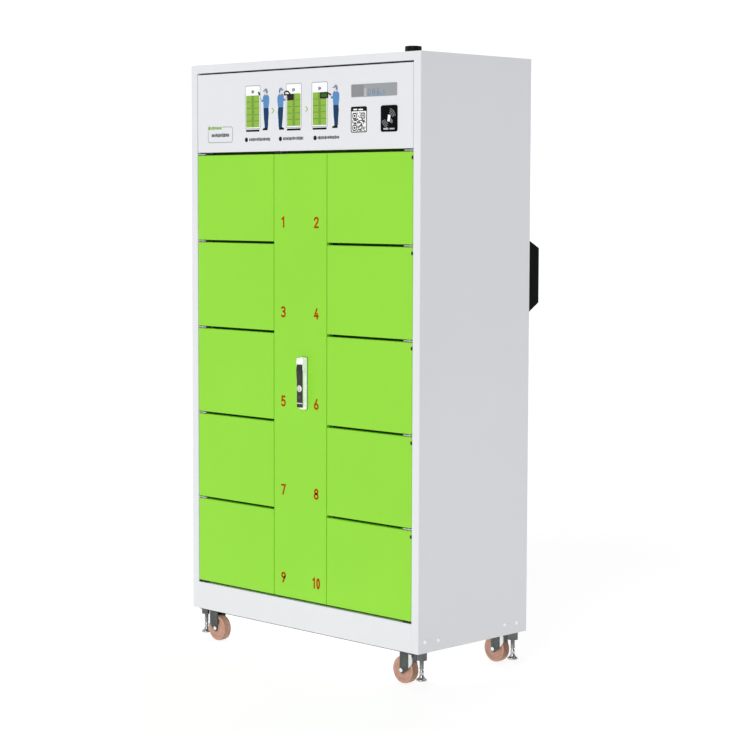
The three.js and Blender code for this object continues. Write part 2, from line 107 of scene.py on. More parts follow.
class Mat:
    """A node material: base colour broken up by noise, roughness broken up by noise, and fine bump."""

    def __init__(self, name, base, rough=0.4, metal=0.0, var=0.04, var_scale=6.0, rough_var=0.06, rough_scale=30.0,
                 bump=0.0, bump_scale=400.0, bump_mm=0.1, wave_mm=0.0, wave_scale=2.5, coat=0.0, spec=None, dust=None,
                 dark=None, stretch=None, emit=None, alpha=None, detail=2.0):
        m = bpy.data.materials.new(name)
        m.use_nodes = True
        self.m, self.t = m, m.node_tree
        n, l = self.t.nodes, self.t.links
        self.bsdf = b = n["Principled BSDF"]
        b.inputs["Metallic"].default_value = metal
        if coat:
            b.inputs["Coat Weight"].default_value = coat
            b.inputs["Coat Roughness"].default_value = 0.06
        if spec is not None:
            b.inputs["Specular IOR Level"].default_value = spec
        tc = n.new("ShaderNodeTexCoord")
        src = tc.outputs["Object"]
        if stretch:
            mp = n.new("ShaderNodeMapping")
            mp.inputs["Scale"].default_value = stretch
            l.new(src, mp.inputs["Vector"])
            src = mp.outputs["Vector"]
        self.src, self.raw = src, tc.outputs["Object"]

        def noise(scale, det=2.0, rough_=0.5, s=None):
            x = n.new("ShaderNodeTexNoise")
            x.inputs["Scale"].default_value = scale
            x.inputs["Detail"].default_value = det
            x.inputs["Roughness"].default_value = rough_
            l.new(s or src, x.inputs["Vector"])
            return x.outputs["Fac"]

        self.noise = noise
        # colour
        ramp = n.new("ShaderNodeValToRGB")
        ramp.color_ramp.elements[0].position = 0.3
        ramp.color_ramp.elements[1].position = 0.7
        ramp.color_ramp.elements[0].color = shade(base, 1 - var)
        ramp.color_ramp.elements[1].color = shade(base, 1 + var)
        l.new(noise(var_scale, detail), ramp.inputs["Fac"])
        col = ramp.outputs["Color"]
        if dark is not None:  # speckle: (colour, scale, low, high, amount)
            dcol, dscale, dlo, dhi, damt = dark
            mr = n.new("ShaderNodeMapRange")
            mr.inputs["From Min"].default_value = dlo
            mr.inputs["From Max"].default_value = dhi
            mr.inputs["To Max"].default_value = damt
            l.new(noise(dscale, 5.0, 0.65), mr.inputs["Value"])
            mx = n.new("ShaderNodeMix")
            mx.data_type = "RGBA"
            l.new(mr.outputs["Result"], mx.inputs["Factor"])
            l.new(col, mx.inputs["A"])
            mx.inputs["B"].default_value = dcol
            col = mx.outputs["Result"]
        if dust is not None:  # (z0, z1, colour, amount): grime that gathers towards z0 metres
            z0, z1, dcol, damt = dust
            sep = n.new("ShaderNodeSeparateXYZ")
            l.new(tc.outputs["Object"], sep.inputs["Vector"])
            mr = n.new("ShaderNodeMapRange")
            mr.inputs["From Min"].default_value = z0
            mr.inputs["From Max"].default_value = z1
            mr.inputs["To Min"].default_value = damt
            mr.inputs["To Max"].default_value = 0.0
            l.new(sep.outputs["Z"], mr.inputs["Value"])
            mul = n.new("ShaderNodeMath")
            mul.operation = "MULTIPLY"
            l.new(mr.outputs["Result"], mul.inputs[0])
            l.new(noise(14.0, 5.0, 0.6), mul.inputs[1])
            mx = n.new("ShaderNodeMix")
            mx.data_type = "RGBA"
            l.new(mul.outputs["Value"], mx.inputs["Factor"])
            l.new(col, mx.inputs["A"])
            mx.inputs["B"].default_value = dcol
            col = mx.outputs["Result"]
        l.new(col, b.inputs["Base Color"])
        self.col = col
        # roughness
        mr = n.new("ShaderNodeMapRange")
        mr.inputs["From Min"].default_value = 0.3
        mr.inputs["From Max"].default_value = 0.7
        mr.inputs["To Min"].default_value = max(0.02, rough - rough_var)
        mr.inputs["To Max"].default_value = min(1.0, rough + rough_var)
        l.new(noise(rough_scale, 3.0), mr.inputs["Value"])
        l.new(mr.outputs["Result"], b.inputs["Roughness"])
        # bump
        normal = None
        if wave_mm:
            bp = n.new("ShaderNodeBump")
            bp.inputs["Strength"].default_value = 1.0
            bp.inputs["Distance"].default_value = wave_mm / 1000
            l.new(noise(wave_scale, 1.0), bp.inputs["Height"])
            normal = bp.outputs["Normal"]
        if bump:
            bp = n.new("ShaderNodeBump")
            bp.inputs["Strength"].default_value = bump
            bp.inputs["Distance"].default_value = bump_mm / 1000
            l.new(noise(bump_scale, 2.0), bp.inputs["Height"])
            if normal:
                l.new(normal, bp.inputs["Normal"])
            normal = bp.outputs["Normal"]
        if normal:
            l.new(normal, b.inputs["Normal"])
        if emit:
            b.inputs["Emission Color"].default_value = emit[0]
            b.inputs["Emission Strength"].default_value = emit[1]


WHITE = Mat("white_powder_coat", (0.862, 0.873, 0.902, 1), rough=0.40, var=0.012, var_scale=1.6, rough_var=0.05, rough_scale=60,
            bump=0.35, bump_scale=520, bump_mm=0.05, wave_mm=0.35, wave_scale=2.2,
            dust=(0.10, 0.30, (0.55, 0.54, 0.52, 1), 0.10)).m
INNER = Mat("white_inner_paint", (0.74, 0.75, 0.76, 1), rough=0.5, var=0.03, var_scale=3.0, rough_var=0.06, rough_scale=40,
            bump=0.3, bump_scale=420, bump_mm=0.05, dark=((0.5, 0.5, 0.5, 1), 18.0, 0.56, 0.8, 0.25)).m
GREEN = Mat("green_powder_coat", (0.322, 0.795, 0.040, 1), rough=0.42, spec=0.3, var=0.018, var_scale=2.4, rough_var=0.05, rough_scale=60,
            bump=0.35, bump_scale=520, bump_mm=0.05, wave_mm=0.45, wave_scale=3.4).m
BLACK = Mat("black_moulded_plastic", (0.006, 0.0065, 0.007, 1), rough=0.24, var=0.18, var_scale=25, rough_var=0.06, rough_scale=70,
            bump=0.4, bump_scale=900, bump_mm=0.03, spec=0.22).m
HOODM = Mat("black_textured_coat", (0.0045, 0.005, 0.0055, 1), rough=0.55, var=0.16, var_scale=9, rough_var=0.08, rough_scale=50,
            bump=0.6, bump_scale=700, bump_mm=0.07, dark=((0.016, 0.016, 0.017, 1), 30.0, 0.60, 0.85, 0.35), spec=0.06).m
GLOSSB = Mat("black_gloss_panel", (0.0022, 0.0022, 0.0026, 1), rough=0.10, var=0.12, var_scale=12, rough_var=0.04, rough_scale=20, spec=0.06).m
LEVERM = Mat("handle_black_coat", (0.030, 0.028, 0.030, 1), rough=0.33, metal=0.35, var=0.12, var_scale=60, rough_var=0.07, rough_scale=150,
             bump=0.4, bump_scale=1500, bump_mm=0.02).m
DCHROME = Mat("dark_bright_plating", (0.30, 0.305, 0.31, 1), rough=0.13, metal=1.0, var=0.10, var_scale=60, rough_var=0.05, rough_scale=160,
              bump=0.2, bump_scale=700, bump_mm=0.02).m
DARK = Mat("dark_plated_steel", (0.100, 0.108, 0.104, 1), rough=0.30, metal=0.9, var=0.22, var_scale=38, rough_var=0.12, rough_scale=90,
           bump=0.3, bump_scale=600, bump_mm=0.04, dark=((0.03, 0.028, 0.025, 1), 55.0, 0.52, 0.78, 0.6)).m
ZINC = Mat("zinc_plated_steel", (0.62, 0.63, 0.645, 1), rough=0.34, metal=0.92, var=0.08, var_scale=70, rough_var=0.1, rough_scale=140,
           bump=0.25, bump_scale=500, bump_mm=0.03).m
CHROME = Mat("polished_chrome", (0.86, 0.865, 0.875, 1), rough=0.075, metal=1.0, var=0.02, var_scale=40, rough_var=0.035, rough_scale=90,
             bump=0.12, bump_scale=260, bump_mm=0.02).m
CHROME2 = Mat("satin_chrome", (0.80, 0.805, 0.815, 1), rough=0.19, metal=1.0, var=0.04, var_scale=60, rough_var=0.06, rough_scale=160,
              bump=0.2, bump_scale=900, bump_mm=0.015).m
NYLON = Mat("wheel_nylon", (0.585, 0.335, 0.245, 1), rough=0.50, spec=0.3, var=0.13, var_scale=42, rough_var=0.10, rough_scale=90, bump=0.4,
            bump_scale=420, bump_mm=0.08, dark=((0.36, 0.20, 0.14, 1), 60.0, 0.50, 0.80, 0.45), detail=5.0).m
# Tread: a darker copy of the nylon colour, painted shade for the tread turned from the light, with its own rougher
# grain and bump.
TREAD_PAINTED_SHADE = Mat("wheel_tread_painted_shade", (0.40, 0.235, 0.165, 1), rough=0.62, spec=0.25, var=0.2, var_scale=55, rough_var=0.1, rough_scale=90, bump=0.6,
            bump_scale=380, bump_mm=0.12, dark=((0.20, 0.12, 0.085, 1), 70.0, 0.48, 0.75, 0.6), detail=5.0).m
RUBBER = Mat("black_rubber", (0.02, 0.02, 0.021, 1), rough=0.75, var=0.15, var_scale=60, rough_var=0.08, rough_scale=90, bump=0.4, bump_scale=900, bump_mm=0.05).m
# Satin zinc for the handle, with a faint emission: a painted glow that makes it brighter than the lights alone would.
SATIN_PAINTED_GLOW = Mat("satin_zinc_alloy_painted_glow", (0.95, 0.955, 0.96, 1), rough=0.34, metal=0.06, var=0.03, var_scale=60, rough_var=0.05, rough_scale=160,
            bump=0.2, bump_scale=900, bump_mm=0.015, emit=((1, 1, 1, 1), 0.15)).m
DPLATE = Mat("dark_bright_collar", (0.13, 0.132, 0.135, 1), rough=0.16, metal=1.0, var=0.12, var_scale=50, rough_var=0.05, rough_scale=140,
             bump=0.2, bump_scale=700, bump_mm=0.02).m
# White gloss for the rivet domes, with a faint emission: a painted highlight that lifts them off the shaded side panel.
RIVETM = Mat("rivet_white_painted_glow", (0.93, 0.935, 0.945, 1), rough=0.22, coat=0.3, var=0.02, var_scale=60, rough_var=0.04, rough_scale=120,
             bump=0.2, bump_scale=800, bump_mm=0.02, emit=((1, 1, 1, 1), 0.06)).m
FOOTM = Mat("foot_nickel_plate", (0.50, 0.505, 0.51, 1), rough=0.12, metal=1.0, var=0.06, var_scale=60, rough_var=0.05, rough_scale=160,
            bump=0.2, bump_scale=700, bump_mm=0.02).m
GAP_SHADE_GREEN = Mat("door_gap_painted_shade_green", (0.052, 0.115, 0.012, 1), rough=0.9, spec=0.1, var=0.14, var_scale=60, bump=0.5, bump_scale=900, bump_mm=0.1).m
# Near-black strip material that paints the shade in the gap along the header's top edge.
SHADOWGAP = Mat("header_gap_painted_shade", (0.02, 0.026, 0.018, 1), rough=0.9, var=0.2, var_scale=80, bump=0.5, bump_scale=900, bump_mm=0.1).m
ORANGE = Mat("print_orange_red", srgb(176, 70, 0), rough=0.55, var=0.05, var_scale=80, rough_var=0.05, rough_scale=150, spec=0.04).m


def ink(name, rgb, rough=0.42, emit=None):
    return Mat("print_" + name, srgb(*rgb), rough=rough, var=0.035, var_scale=90, rough_var=0.05, rough_scale=160, bump=0.15,
               bump_scale=900, bump_mm=0.02, emit=emit, spec=0.14).m


INK_BLACK = ink("black", (8, 8, 10))
INK_GREY = ink("grey", (128, 130, 133))
INK_LGREY = ink("light_grey", (196, 199, 203))
# White print with a faint emission: a painted glow that keeps it brighter than the lights make it.
INK_WHITE_PAINTED_GLOW = ink("white", (250, 250, 251), emit=((1, 1, 1, 1), 0.10))
INK_GREEN = ink("green", (150, 194, 76))
INK_DGREEN = ink("dark_green", (124, 168, 66))
INK_OLIVE = ink("olive", (140, 176, 84))
INK_LEAF = ink("leaf", (138, 182, 62))
INK_SAGE = ink("sage", (165, 176, 165))
INK_DGREY = ink("dark_grey", (92, 93, 96))
INK_EDGE = ink("edge_grey", (164, 168, 172))
INK_DEEP = ink("deep_green", (92, 138, 44))
INK_PACK = ink("pack_green", (58, 104, 30))
INK_SHIRT = ink("shirt_blue", (94, 148, 204))
INK_CAP = ink("cap_blue", (126, 152, 190))
INK_NAVY = ink("navy", (22, 62, 104))
INK_SKIN = ink("skin", (240, 222, 206))
INK_HAIR = ink("hair", (62, 66, 66))
INK_BATT = ink("battery", (40, 34, 34))

# ------------------------------------------------------------- mesh helpers
def add_faces(bm, verts, faces):
    vs = [bm.verts.new(v) for v in verts]
    out = []
    for f in faces:
        out.append(bm.faces.new([vs[i] for i in f]))
    return vs, out


def prism(bm, pts, a, b, plane="xz", mat=0):
    """Closed prism of a 2D outline between stations a and b. plane names the outline's axes."""
    area = sum(pts[i][0] * pts[(i + 1) % len(pts)][1] - pts[(i + 1) % len(pts)][0] * pts[i][1] for i in range(len(pts)))
    if area < 0:
        pts = pts[::-1]
    place = {"xz": lambda p, s: (p[0], s, p[1]), "xy": lambda p, s: (p[0], p[1], s), "yz": lambda p, s: (s, p[0], p[1])}[plane]
    n = len(pts)
    va = [bm.verts.new(place(p, a)) for p in pts]
    vb = [bm.verts.new(place(p, b)) for p in pts]
    fs = [bm.faces.new(va[::-1]), bm.faces.new(vb)]
    for i in range(n):
        j = (i + 1) % n
        fs.append(bm.faces.new((va[i], va[j], vb[j], vb[i])))
    for f in fs:
        f.material_index = mat
    flip = (plane == "xz")
    if flip:
        bmesh.ops.reverse_faces(bm, faces=fs)
    return fs


def ring_prism(bm, outer, inner, a, b, plane="xz", mat=0):
    """Prism of a ring: outer and inner outlines with the same number of points."""
    place = {"xz": lambda p, s: (p[0], s, p[1]), "xy": lambda p, s: (p[0], p[1], s), "yz": lambda p, s: (s, p[0], p[1])}[plane]
    n = len(outer)
    L = [[bm.verts.new(place(p, s)) for p in ring] for s in (a, b) for ring in (outer, inner)]
    oa, ia, ob, ib = L
    fs = []
    for i in range(n):
        j = (i + 1) % n
        fs += [bm.faces.new((oa[i], ia[i], ia[j], oa[j])), bm.faces.new((ob[i], ob[j], ib[j], ib[i])),
               bm.faces.new((oa[i], oa[j], ob[j], ob[i])), bm.faces.new((ia[j], ia[i], ib[i], ib[j]))]
    for f in fs:
        f.material_index = mat
    return fs


def box(bm, x0, x1, y0, y1, z0, z1, mat=0):
    return prism(bm, [(x0, z0), (x1, z0), (x1, z1), (x0, z1)], y0, y1, "xz", mat)


def circle(cx, cy, rx, ry=None, n=32, a0=0.0):
    ry = rx if ry is None else ry
    return [(cx + rx * math.cos(a0 + 2 * math.pi * i / n), cy + ry * math.sin(a0 + 2 * math.pi * i / n)) for i in range(n)]


def rrect(x0, x1, z0, z1, r, n=5):
    out = []
    for cx, cz, a in ((x1 - r, z1 - r, 0), (x0 + r, z1 - r, 90), (x0 + r, z0 + r, 180), (x1 - r, z0 + r, 270)):
        for i in range(n + 1):
            t = math.radians(a + 90 * i / n)
            out.append((cx + r * math.cos(t), cz + r * math.sin(t)))
    return out


def fillet(pts, radius, n=5):
    """Rounds every corner of an outline; radius is one number or one for each corner."""
    out, m = [], len(pts)
    for i in range(m):
        r = radius[i] if isinstance(radius, (list, tuple)) else radius
        p, a, b = Vector(pts[i]), Vector(pts[i - 1]), Vector(pts[(i + 1) % m])
        if r <= 0:
            out.append(tuple(p))
            continue
        u, v = (a - p), (b - p)
        lu, lv = u.length, v.length
        u.normalize(); v.normalize()
        ang = math.acos(max(-1, min(1, u.dot(v))))
        d = min(r / max(1e-6, math.tan(ang / 2)), lu * 0.49, lv * 0.49)
        rr = d * math.tan(ang / 2)
        c = p + (u + v).normalized() * (rr / max(1e-6, math.sin(ang / 2)))
        s, e = p + u * d, p + v * d
        a0 = math.atan2(s.y - c.y, s.x - c.x)
        a1 = math.atan2(e.y - c.y, e.x - c.x)
        da = (a1 - a0 + math.pi) % (2 * math.pi) - math.pi
        for k in range(n + 1):
            t = a0 + da * k / n
            out.append((c.x + rr * math.cos(t), c.y + rr * math.sin(t)))
    return out


def lathe(bm, profile, axis="z", centre=(0, 0, 0), n=48, mat=0, mats=None):
    """Turned solid: profile of (radius, station); starts and ends on the axis, or closes on itself."""
    closed = profile[0][0] > 1e-6 and profile[-1][0] > 1e-6
    rings = []
    for r, s in profile:
        if r < 1e-6:
            rings.append([s])
        else:
            rings.append([(r * math.cos(2 * math.pi * i / n), r * math.sin(2 * math.pi * i / n), s) for i in range(n)])
    place = {"z": lambda a, b, s: (centre[0] + a, centre[1] + b, centre[2] + s),
             "y": lambda a, b, s: (centre[0] + b, centre[1] + s, centre[2] + a),
             "x": lambda a, b, s: (centre[0] + s, centre[1] + a, centre[2] + b)}[axis]
    V = []
    for ring in rings:
        if len(ring) == 1:
            V.append([bm.verts.new(place(0, 0, ring[0]))])
        else:
            V.append([bm.verts.new(place(*p)) for p in ring])
    pairs = list(range(len(V) - 1)) + ([len(V) - 1] if closed else [])
    fs = []
    for k in pairs:
        A, B = V[k], V[(k + 1) % len(V)]
        mi = mats[k] if mats else mat
        for i in range(n):
            j = (i + 1) % n
            if len(A) == 1 and len(B) == 1:
                continue
            if len(A) == 1:
                f = bm.faces.new((A[0], B[j], B[i]))
            elif len(B) == 1:
                f = bm.faces.new((A[i], A[j], B[0]))
            else:
                f = bm.faces.new((A[i], A[j], B[j], B[i]))
            f.material_index = mi
            fs.append(f)
    return fs


def stroke(bm, line, width, a, b, closed=False, mat=0, caps=5):
    """A flat stroke of even width along a centre line in XZ, as a closed prism between y=a and y=b."""
    P = [Vector(p) for p in line]
    n, h = len(P), width / 2
    L, R = [], []
    for i in range(n):
        if closed:
            d0, d1 = (P[i] - P[i - 1]).normalized(), (P[(i + 1) % n] - P[i]).normalized()
        else:
            d0 = (P[i] - P[i - 1]).normalized() if i else (P[1] - P[0]).normalized()
            d1 = (P[i + 1] - P[i]).normalized() if i < n - 1 else d0
        t = (d0 + d1)
        t = t.normalized() if t.length > 1e-6 else d0
        nrm = Vector((-t.y, t.x))
        k = 1 / max(0.5, nrm.dot(Vector((-d0.y, d0.x))))
        L.append(tuple(P[i] + nrm * h * k))
        R.append(tuple(P[i] - nrm * h * k))
    if closed:
        ring_prism(bm, R, L, a, b, "xz", mat)
        return
    out = list(L)
    def cap(c, frm, n_):
        a0 = math.atan2(frm[1] - c.y, frm[0] - c.x)
        return [(c.x + h * math.cos(a0 - math.pi * k / n_), c.y + h * math.sin(a0 - math.pi * k / n_)) for k in range(1, n_)]
    out += cap(P[-1], L[-1], caps) + R[::-1] + cap(P[0], R[0], caps)
    prism(bm, out, a, b, "xz", mat)


def finish_mesh(name, bm, mats, body, replaces=(), bevel=0.0, segs=2, angle=32, smooth=38, recalc=True, weighted=True, post=None):
    bmesh.ops.remove_doubles(bm, verts=bm.verts, dist=1e-4)
    if recalc:
        bmesh.ops.recalc_face_normals(bm, faces=bm.faces)
    bmesh.ops.transform(bm, matrix=TO_ROW, verts=bm.verts)
    me = bpy.data.meshes.new(name)
    bm.to_mesh(me)
    bm.free()
    ob = bpy.data.objects.new(name, me)
    scene.collection.objects.link(ob)
    for m in (mats if isinstance(mats, (list, tuple)) else [mats]):
        me.materials.append(m)
    if post:
        post(ob)
    if bevel:
        md = ob.modifiers.new("bevel", "BEVEL")
        md.width = bevel * 0.001
        md.segments = segs
        md.limit_method = "ANGLE"
        md.angle_limit = math.radians(angle)
        md.miter_outer = "MITER_ARC"
        bake(ob)
        tidy(ob)
    me = ob.data
    me.polygons.foreach_set("use_smooth", [True] * len(me.polygons))
    me.set_sharp_from_angle(angle=math.radians(smooth))
    if weighted:
        md = ob.modifiers.new("normals", "WEIGHTED_NORMAL")
        md.keep_sharp = True
        md.weight = 60
    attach(ob, body)
    if replaces:
        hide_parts(*replaces)
    return ob


def tidy(ob):
    """Collapses slivers left at pole points by the bevel."""
    b = bmesh.new()
    b.from_mesh(ob.data)
    if any(f.calc_area() < 1e-12 for f in b.faces):
        bmesh.ops.dissolve_degenerate(b, dist=1e-6, edges=b.edges)
        b.to_mesh(ob.data)
    b.free()


def bake(ob):
    """Applies the modifiers to the mesh."""
    dg = bpy.context.evaluated_depsgraph_get()
    dg.update()
    new = bpy.data.meshes.new_from_object(ob.evaluated_get(dg), preserve_all_data_layers=False, depsgraph=dg)
    new.name = ob.data.name
    old = ob.data
    ob.modifiers.clear()
    ob.data = new
    bpy.data.meshes.remove(old)


def fine(node, mat, bevel=0.5, segs=2, name=None, smooth=38, post=None):
    """A detailed copy of a CAD node: flat faces made whole, every edge rounded."""
    src = NODES[node]
    bm = bmesh.new()
    bm.from_mesh(src.data)
    bmesh.ops.remove_doubles(bm, verts=bm.verts, dist=2e-6)
    bmesh.ops.dissolve_limit(bm, angle_limit=math.radians(0.5), verts=bm.verts, edges=bm.edges)
    bmesh.ops.transform(bm, matrix=TO_ROW.inverted(), verts=bm.verts)
    for f in bm.faces:
        f.material_index = 0
    return finish_mesh(name or node + "_fine", bm, mat, NODE_BODY[node], (node,), bevel, segs, smooth=smooth, post=post)


def cutter(bm_fn):
    bm = bmesh.new()
    bm_fn(bm)
    bmesh.ops.recalc_face_normals(bm, faces=bm.faces)
    bmesh.ops.transform(bm, matrix=TO_ROW, verts=bm.verts)
    me = bpy.data.meshes.new("cutter")
    bm.to_mesh(me)
    bm.free()
    ob = bpy.data.objects.new("cutter", me)
    scene.collection.objects.link(ob)
    return ob


def cut(ob, cutters, op="DIFFERENCE"):
    for c in cutters:
        md = ob.modifiers.new("bool", "BOOLEAN")
        md.operation = op
        md.solver = "EXACT"
        md.object = c
        bake(ob)
        me = c.data
        bpy.data.objects.remove(c)
        bpy.data.meshes.remove(me)


# ----------------------------------------------------------- folded sheet pans
def pan_shell(bm, x0, x1, y0, y1, z0, z1, r, lip, segs):
    """One skin of a folded pan, open inside its return lip; returns the edges of the opening."""
    tmp = bmesh.new()
    box(tmp, x0, x1, y0, y1, z0, z1)
    bmesh.ops.recalc_face_normals(tmp, faces=tmp.faces)
    front = [e for e in tmp.edges if min(v.co.y for v in e.verts) < y0 + 1e-4 or (abs(e.verts[0].co.y - e.verts[1].co.y) > 1)]
    bmesh.ops.bevel(tmp, geom=front, offset=r, segments=segs, profile=0.5, affect="EDGES", clamp_overlap=True)
    back = [f for f in tmp.faces if all(v.co.y > y1 - 1e-4 for v in f.verts)]
    bmesh.ops.delete(tmp, geom=back, context="FACES_ONLY")
    rim = [v for v in tmp.verts if v.co.y > y1 - 1e-4]
    cx, cz = (x0 + x1) / 2, (z0 + z1) / 2
    rim.sort(key=lambda v: math.atan2((v.co.z - cz) / (z1 - z0), (v.co.x - cx) / (x1 - x0)))
    inner = []
    for v in rim:
        x = max(x0 + lip, min(x1 - lip, v.co.x))
        z = max(z0 + lip, min(z1 - lip, v.co.z))
        inner.append((x, y1, z))
    ring = [tmp.verts.new(p) for p in inner]
    n = len(rim)
    for i in range(n):
        j = (i + 1) % n
        tmp.faces.new((rim[i], rim[j], ring[j], ring[i]))
    bmesh.ops.remove_doubles(tmp, verts=tmp.verts, dist=1e-4)
    me = bpy.data.meshes.new("tmp")
    tmp.to_mesh(me)
    tmp.free()
    bm.from_mesh(me)
    bpy.data.meshes.remove(me)


def pan_bm(x0, x1, y0, y1, z0, z1, r=2.0, t=1.2, lip=11.0, segs=4):
    """A folded pan in sheet of thickness t: rounded front folds, four edges and a return lip at the back."""
    bm = bmesh.new()
    pan_shell(bm, x0, x1, y0, y1, z0, z1, r, lip, segs)
    pan_shell(bm, x0 + t, x1 - t, y0 + t, y1 - t, z0 + t, z1 - t, max(0.3, r - t), lip - t, segs)
    pts = [(x0 + lip, z0 + lip), (x1 - lip, z0 + lip), (x1 - lip, z1 - lip), (x0 + lip, z1 - lip)]
    bm.verts.ensure_lookup_table()
    find = lambda x, y, z: min(bm.verts, key=lambda v: (v.co.x - x) ** 2 + (v.co.y - y) ** 2 + (v.co.z - z) ** 2)
    for k in range(4):
        (ax_, az_), (bx_, bz_) = pts[k], pts[(k + 1) % 4]
        bm.faces.new((find(ax_, y1, az_), find(bx_, y1, bz_), find(bx_, y1 - t, bz_), find(ax_, y1 - t, az_)))
    return bm


def pan_object(name, node, mat, lim, r=2.0, lip=11.0, holes=None):
    bm = pan_bm(*lim, r=r, lip=lip)
    def post(ob):
        if holes:
            cut(ob, [cutter(h) for h in holes])
    return finish_mesh(name, bm, mat, NODE_BODY[node], (node,), 0.0, smooth=30, post=post)


# ------------------------------------------------------------ cabinet shell
def sheet_side(node, mirror):
    f = (lambda x: BODY_W - x) if mirror else (lambda x: x)
    t = 1.2
    outer = [(0, 0), (28, 0), (28, 20), (28 - t, 20), (28 - t, t), (t, t), (t, BODY_D - t), (20, BODY_D - t), (20, BODY_D), (0, BODY_D)]
    radii = [2.4, 2.4, 0.4, 0.4, 1.2, 1.2, 1.2, 0.4, 0.4, 2.4]
    pts = fillet(outer, radii, 5)
    bm = bmesh.new()
    prism(bm, [(f(x), y) for x, y in pts], 0, BODY_H, "xy")
    lathe(bm, [(0, 0), (2.5, 0), (2.5, 8.2), (2.0, 8.8), (0, 8.8)] if not mirror else [(0, -8.8), (2.0, -8.8), (2.5, -8.2), (2.5, 0), (0, 0)],
          "x", (f(27.4), 7.5, 1656), 20)
    return finish_mesh(node + "_sheet", bm, WHITE, "cabinet", (node,), 0.35, 2, smooth=40)


sheet_side("side_panel_left", False)
sheet_side("side_panel_right", True)
fine("top_panel", WHITE, 0.5, 3)
fine("rear_panel", WHITE, 0.3, 2)
fine("header_floor", [INNER, RUBBER], 0.45, 2)
# The front edge faces take black rubber: painted shade in the gap between the top doors and the header.
ob = bpy.data.objects["header_floor_fine"]
for p in ob.data.polygons:
    if (p.center.y - ORG.y) * 1000 < 29.5:
        p.material_index = 1
fine("floor_panel", [INNER, RUBBER], 0.45, 2)
# The front edge faces take black rubber: painted shade in the gap below the lowest doors.
ob = bpy.data.objects["floor_panel_fine"]
for p in ob.data.polygons:
    if (p.center.y - ORG.y) * 1000 < 29.5 and p.center.x > (ORG.x + 0.3):
        p.material_index = 1
for n in tuple(f"shelf_{s}_{i}" for s in ("left", "right") for i in range(1, 5)):
    fine(n, INNER, 0.45, 2)
for n in ("divider_left", "divider_right"):
    fine(n, INNER, 0.4, 2)

# dark green strips behind the gaps between the doors: painted shade that darkens the gaps
y30 = mm("shelf_left_1")[0].y
bm = bmesh.new()
ROWZ = [(mm(f"door_{i}")[1].z + 3.8) for i in (1, 3, 5, 7, 9)] + [mm("door_9")[0].z - 3.8]
for k, z in enumerate(ROWZ):
    if k == 5:
        spans = [(67, BODY_W - 67)]
    elif k == 0:
        spans = [(67, 373.0), (408, BODY_W - 67)]
    else:
        spans = [(67, 372.0), (610.0, BODY_W - 67)]
    for a, b in spans:
        prism(bm, rrect(a, b, z - 5.4, z + 5.4, 1.0, 3), y30 - 1.6, y30 + 0.05)
finish_mesh("door_gap_painted_shade", bm, GAP_SHADE_GREEN, "cabinet")
bm = bmesh.new()   # dark strip behind the top edge of the header: painted shade in the gap
prism(bm, rrect(31, BODY_W - 31, 1668, 1698, 1.0, 3), 28, 30)
finish_mesh("header_painted_shade_strip", bm, SHADOWGAP, "cabinet")
bm = bmesh.new()   # dark strip along the plinth's lower edge: painted shadow of the plinth's return flange
prism(bm, rrect(30, BODY_W - 30, -1.5, 0.3, 0.3, 2), 1.9, 0.15)
finish_mesh("plinth_painted_shadow_strip", bm, RUBBER, "cabinet", weighted=False)
# welds ground flush where the plinth and the top cover meet the side panels
bm = bmesh.new()
for x in (28.15, BODY_W - 28.15):
    for a, b in ((0.3, 83.4), (BODY_H - 24.6, BODY_H - 0.4)):
        prism(bm, rrect(x - 1.3, x + 1.3, a, b, 0.3, 2), -0.06, 0.5)
finish_mesh("ground_welds", bm, WHITE, "cabinet", weighted=False)

# base frame: painted plate and plinth, with plated caster plates and foot bosses
corner_names = ("front_left", "front_right", "rear_left", "rear_right")
fine("base_frame", [WHITE, DARK, DPLATE], 0.4, 2)
base = bpy.data.objects["base_frame_fine"]
for p in base.data.polygons:
    z = (p.center.z - ORG.z) * 1000
    if z < -4.5:
        p.material_index = 2
    elif z > 84.6:
        p.material_index = 1
    elif z < -0.05:
        p.material_index = 1

# ---------------------------------------------------------------- the doors
DOORS = {}
for i in range(1, 11):
    n = f"door_{i}"
    lo, hi = mm(n)
    y1 = lo.y + 18
    hx = lo.x + 14 if i % 2 else hi.x - 14
    def pinhole(zc, hx=hx, yc=lo.y + 6.5):
        return lambda bm: lathe(bm, [(0, -4), (3.0, -4), (3.0, 4), (0, 4)], "z", (hx, yc, zc), 20)
    DOORS[i] = pan_object(n + "_pan", n, GREEN, (lo.x, hi.x, lo.y, y1, lo.z, hi.z), holes=[pinhole(lo.z), pinhole(hi.z)])
    # striker: a bent plate, spot-welded behind the free edge
    sx = 366 if i % 2 else 616
    zm = (lo.z + hi.z) / 2
    bm = bmesh.new()
    prism(bm, fillet([(lo.y + 17.2, zm - 12), (hi.y, zm - 8), (hi.y, zm + 8), (lo.y + 17.2, zm + 12)], [0, 3, 3, 0], 4), sx - 1.1, sx + 1.1, "yz")
    box(bm, sx - 9, sx + 7 if i % 2 else sx + 9, lo.y + 16.9, lo.y + 18.4, zm - 14, zm + 14)
    finish_mesh(n + "_striker", bm, ZINC, n, (), 0.4, 2)
    # rubber buffers inside the pan's free corners
    bm = bmesh.new()
    bx = hi.x - 6 if i % 2 else lo.x + 6
    for zc in (lo.z + 22, hi.z - 22):
        lathe(bm, [(0, 0), (4, 0), (4, 1.4), (3, 2.2), (0, 2.2)], "y", (bx, y1 + 0.02, zc), 20)
    finish_mesh(n + "_buffers", bm, RUBBER, n)

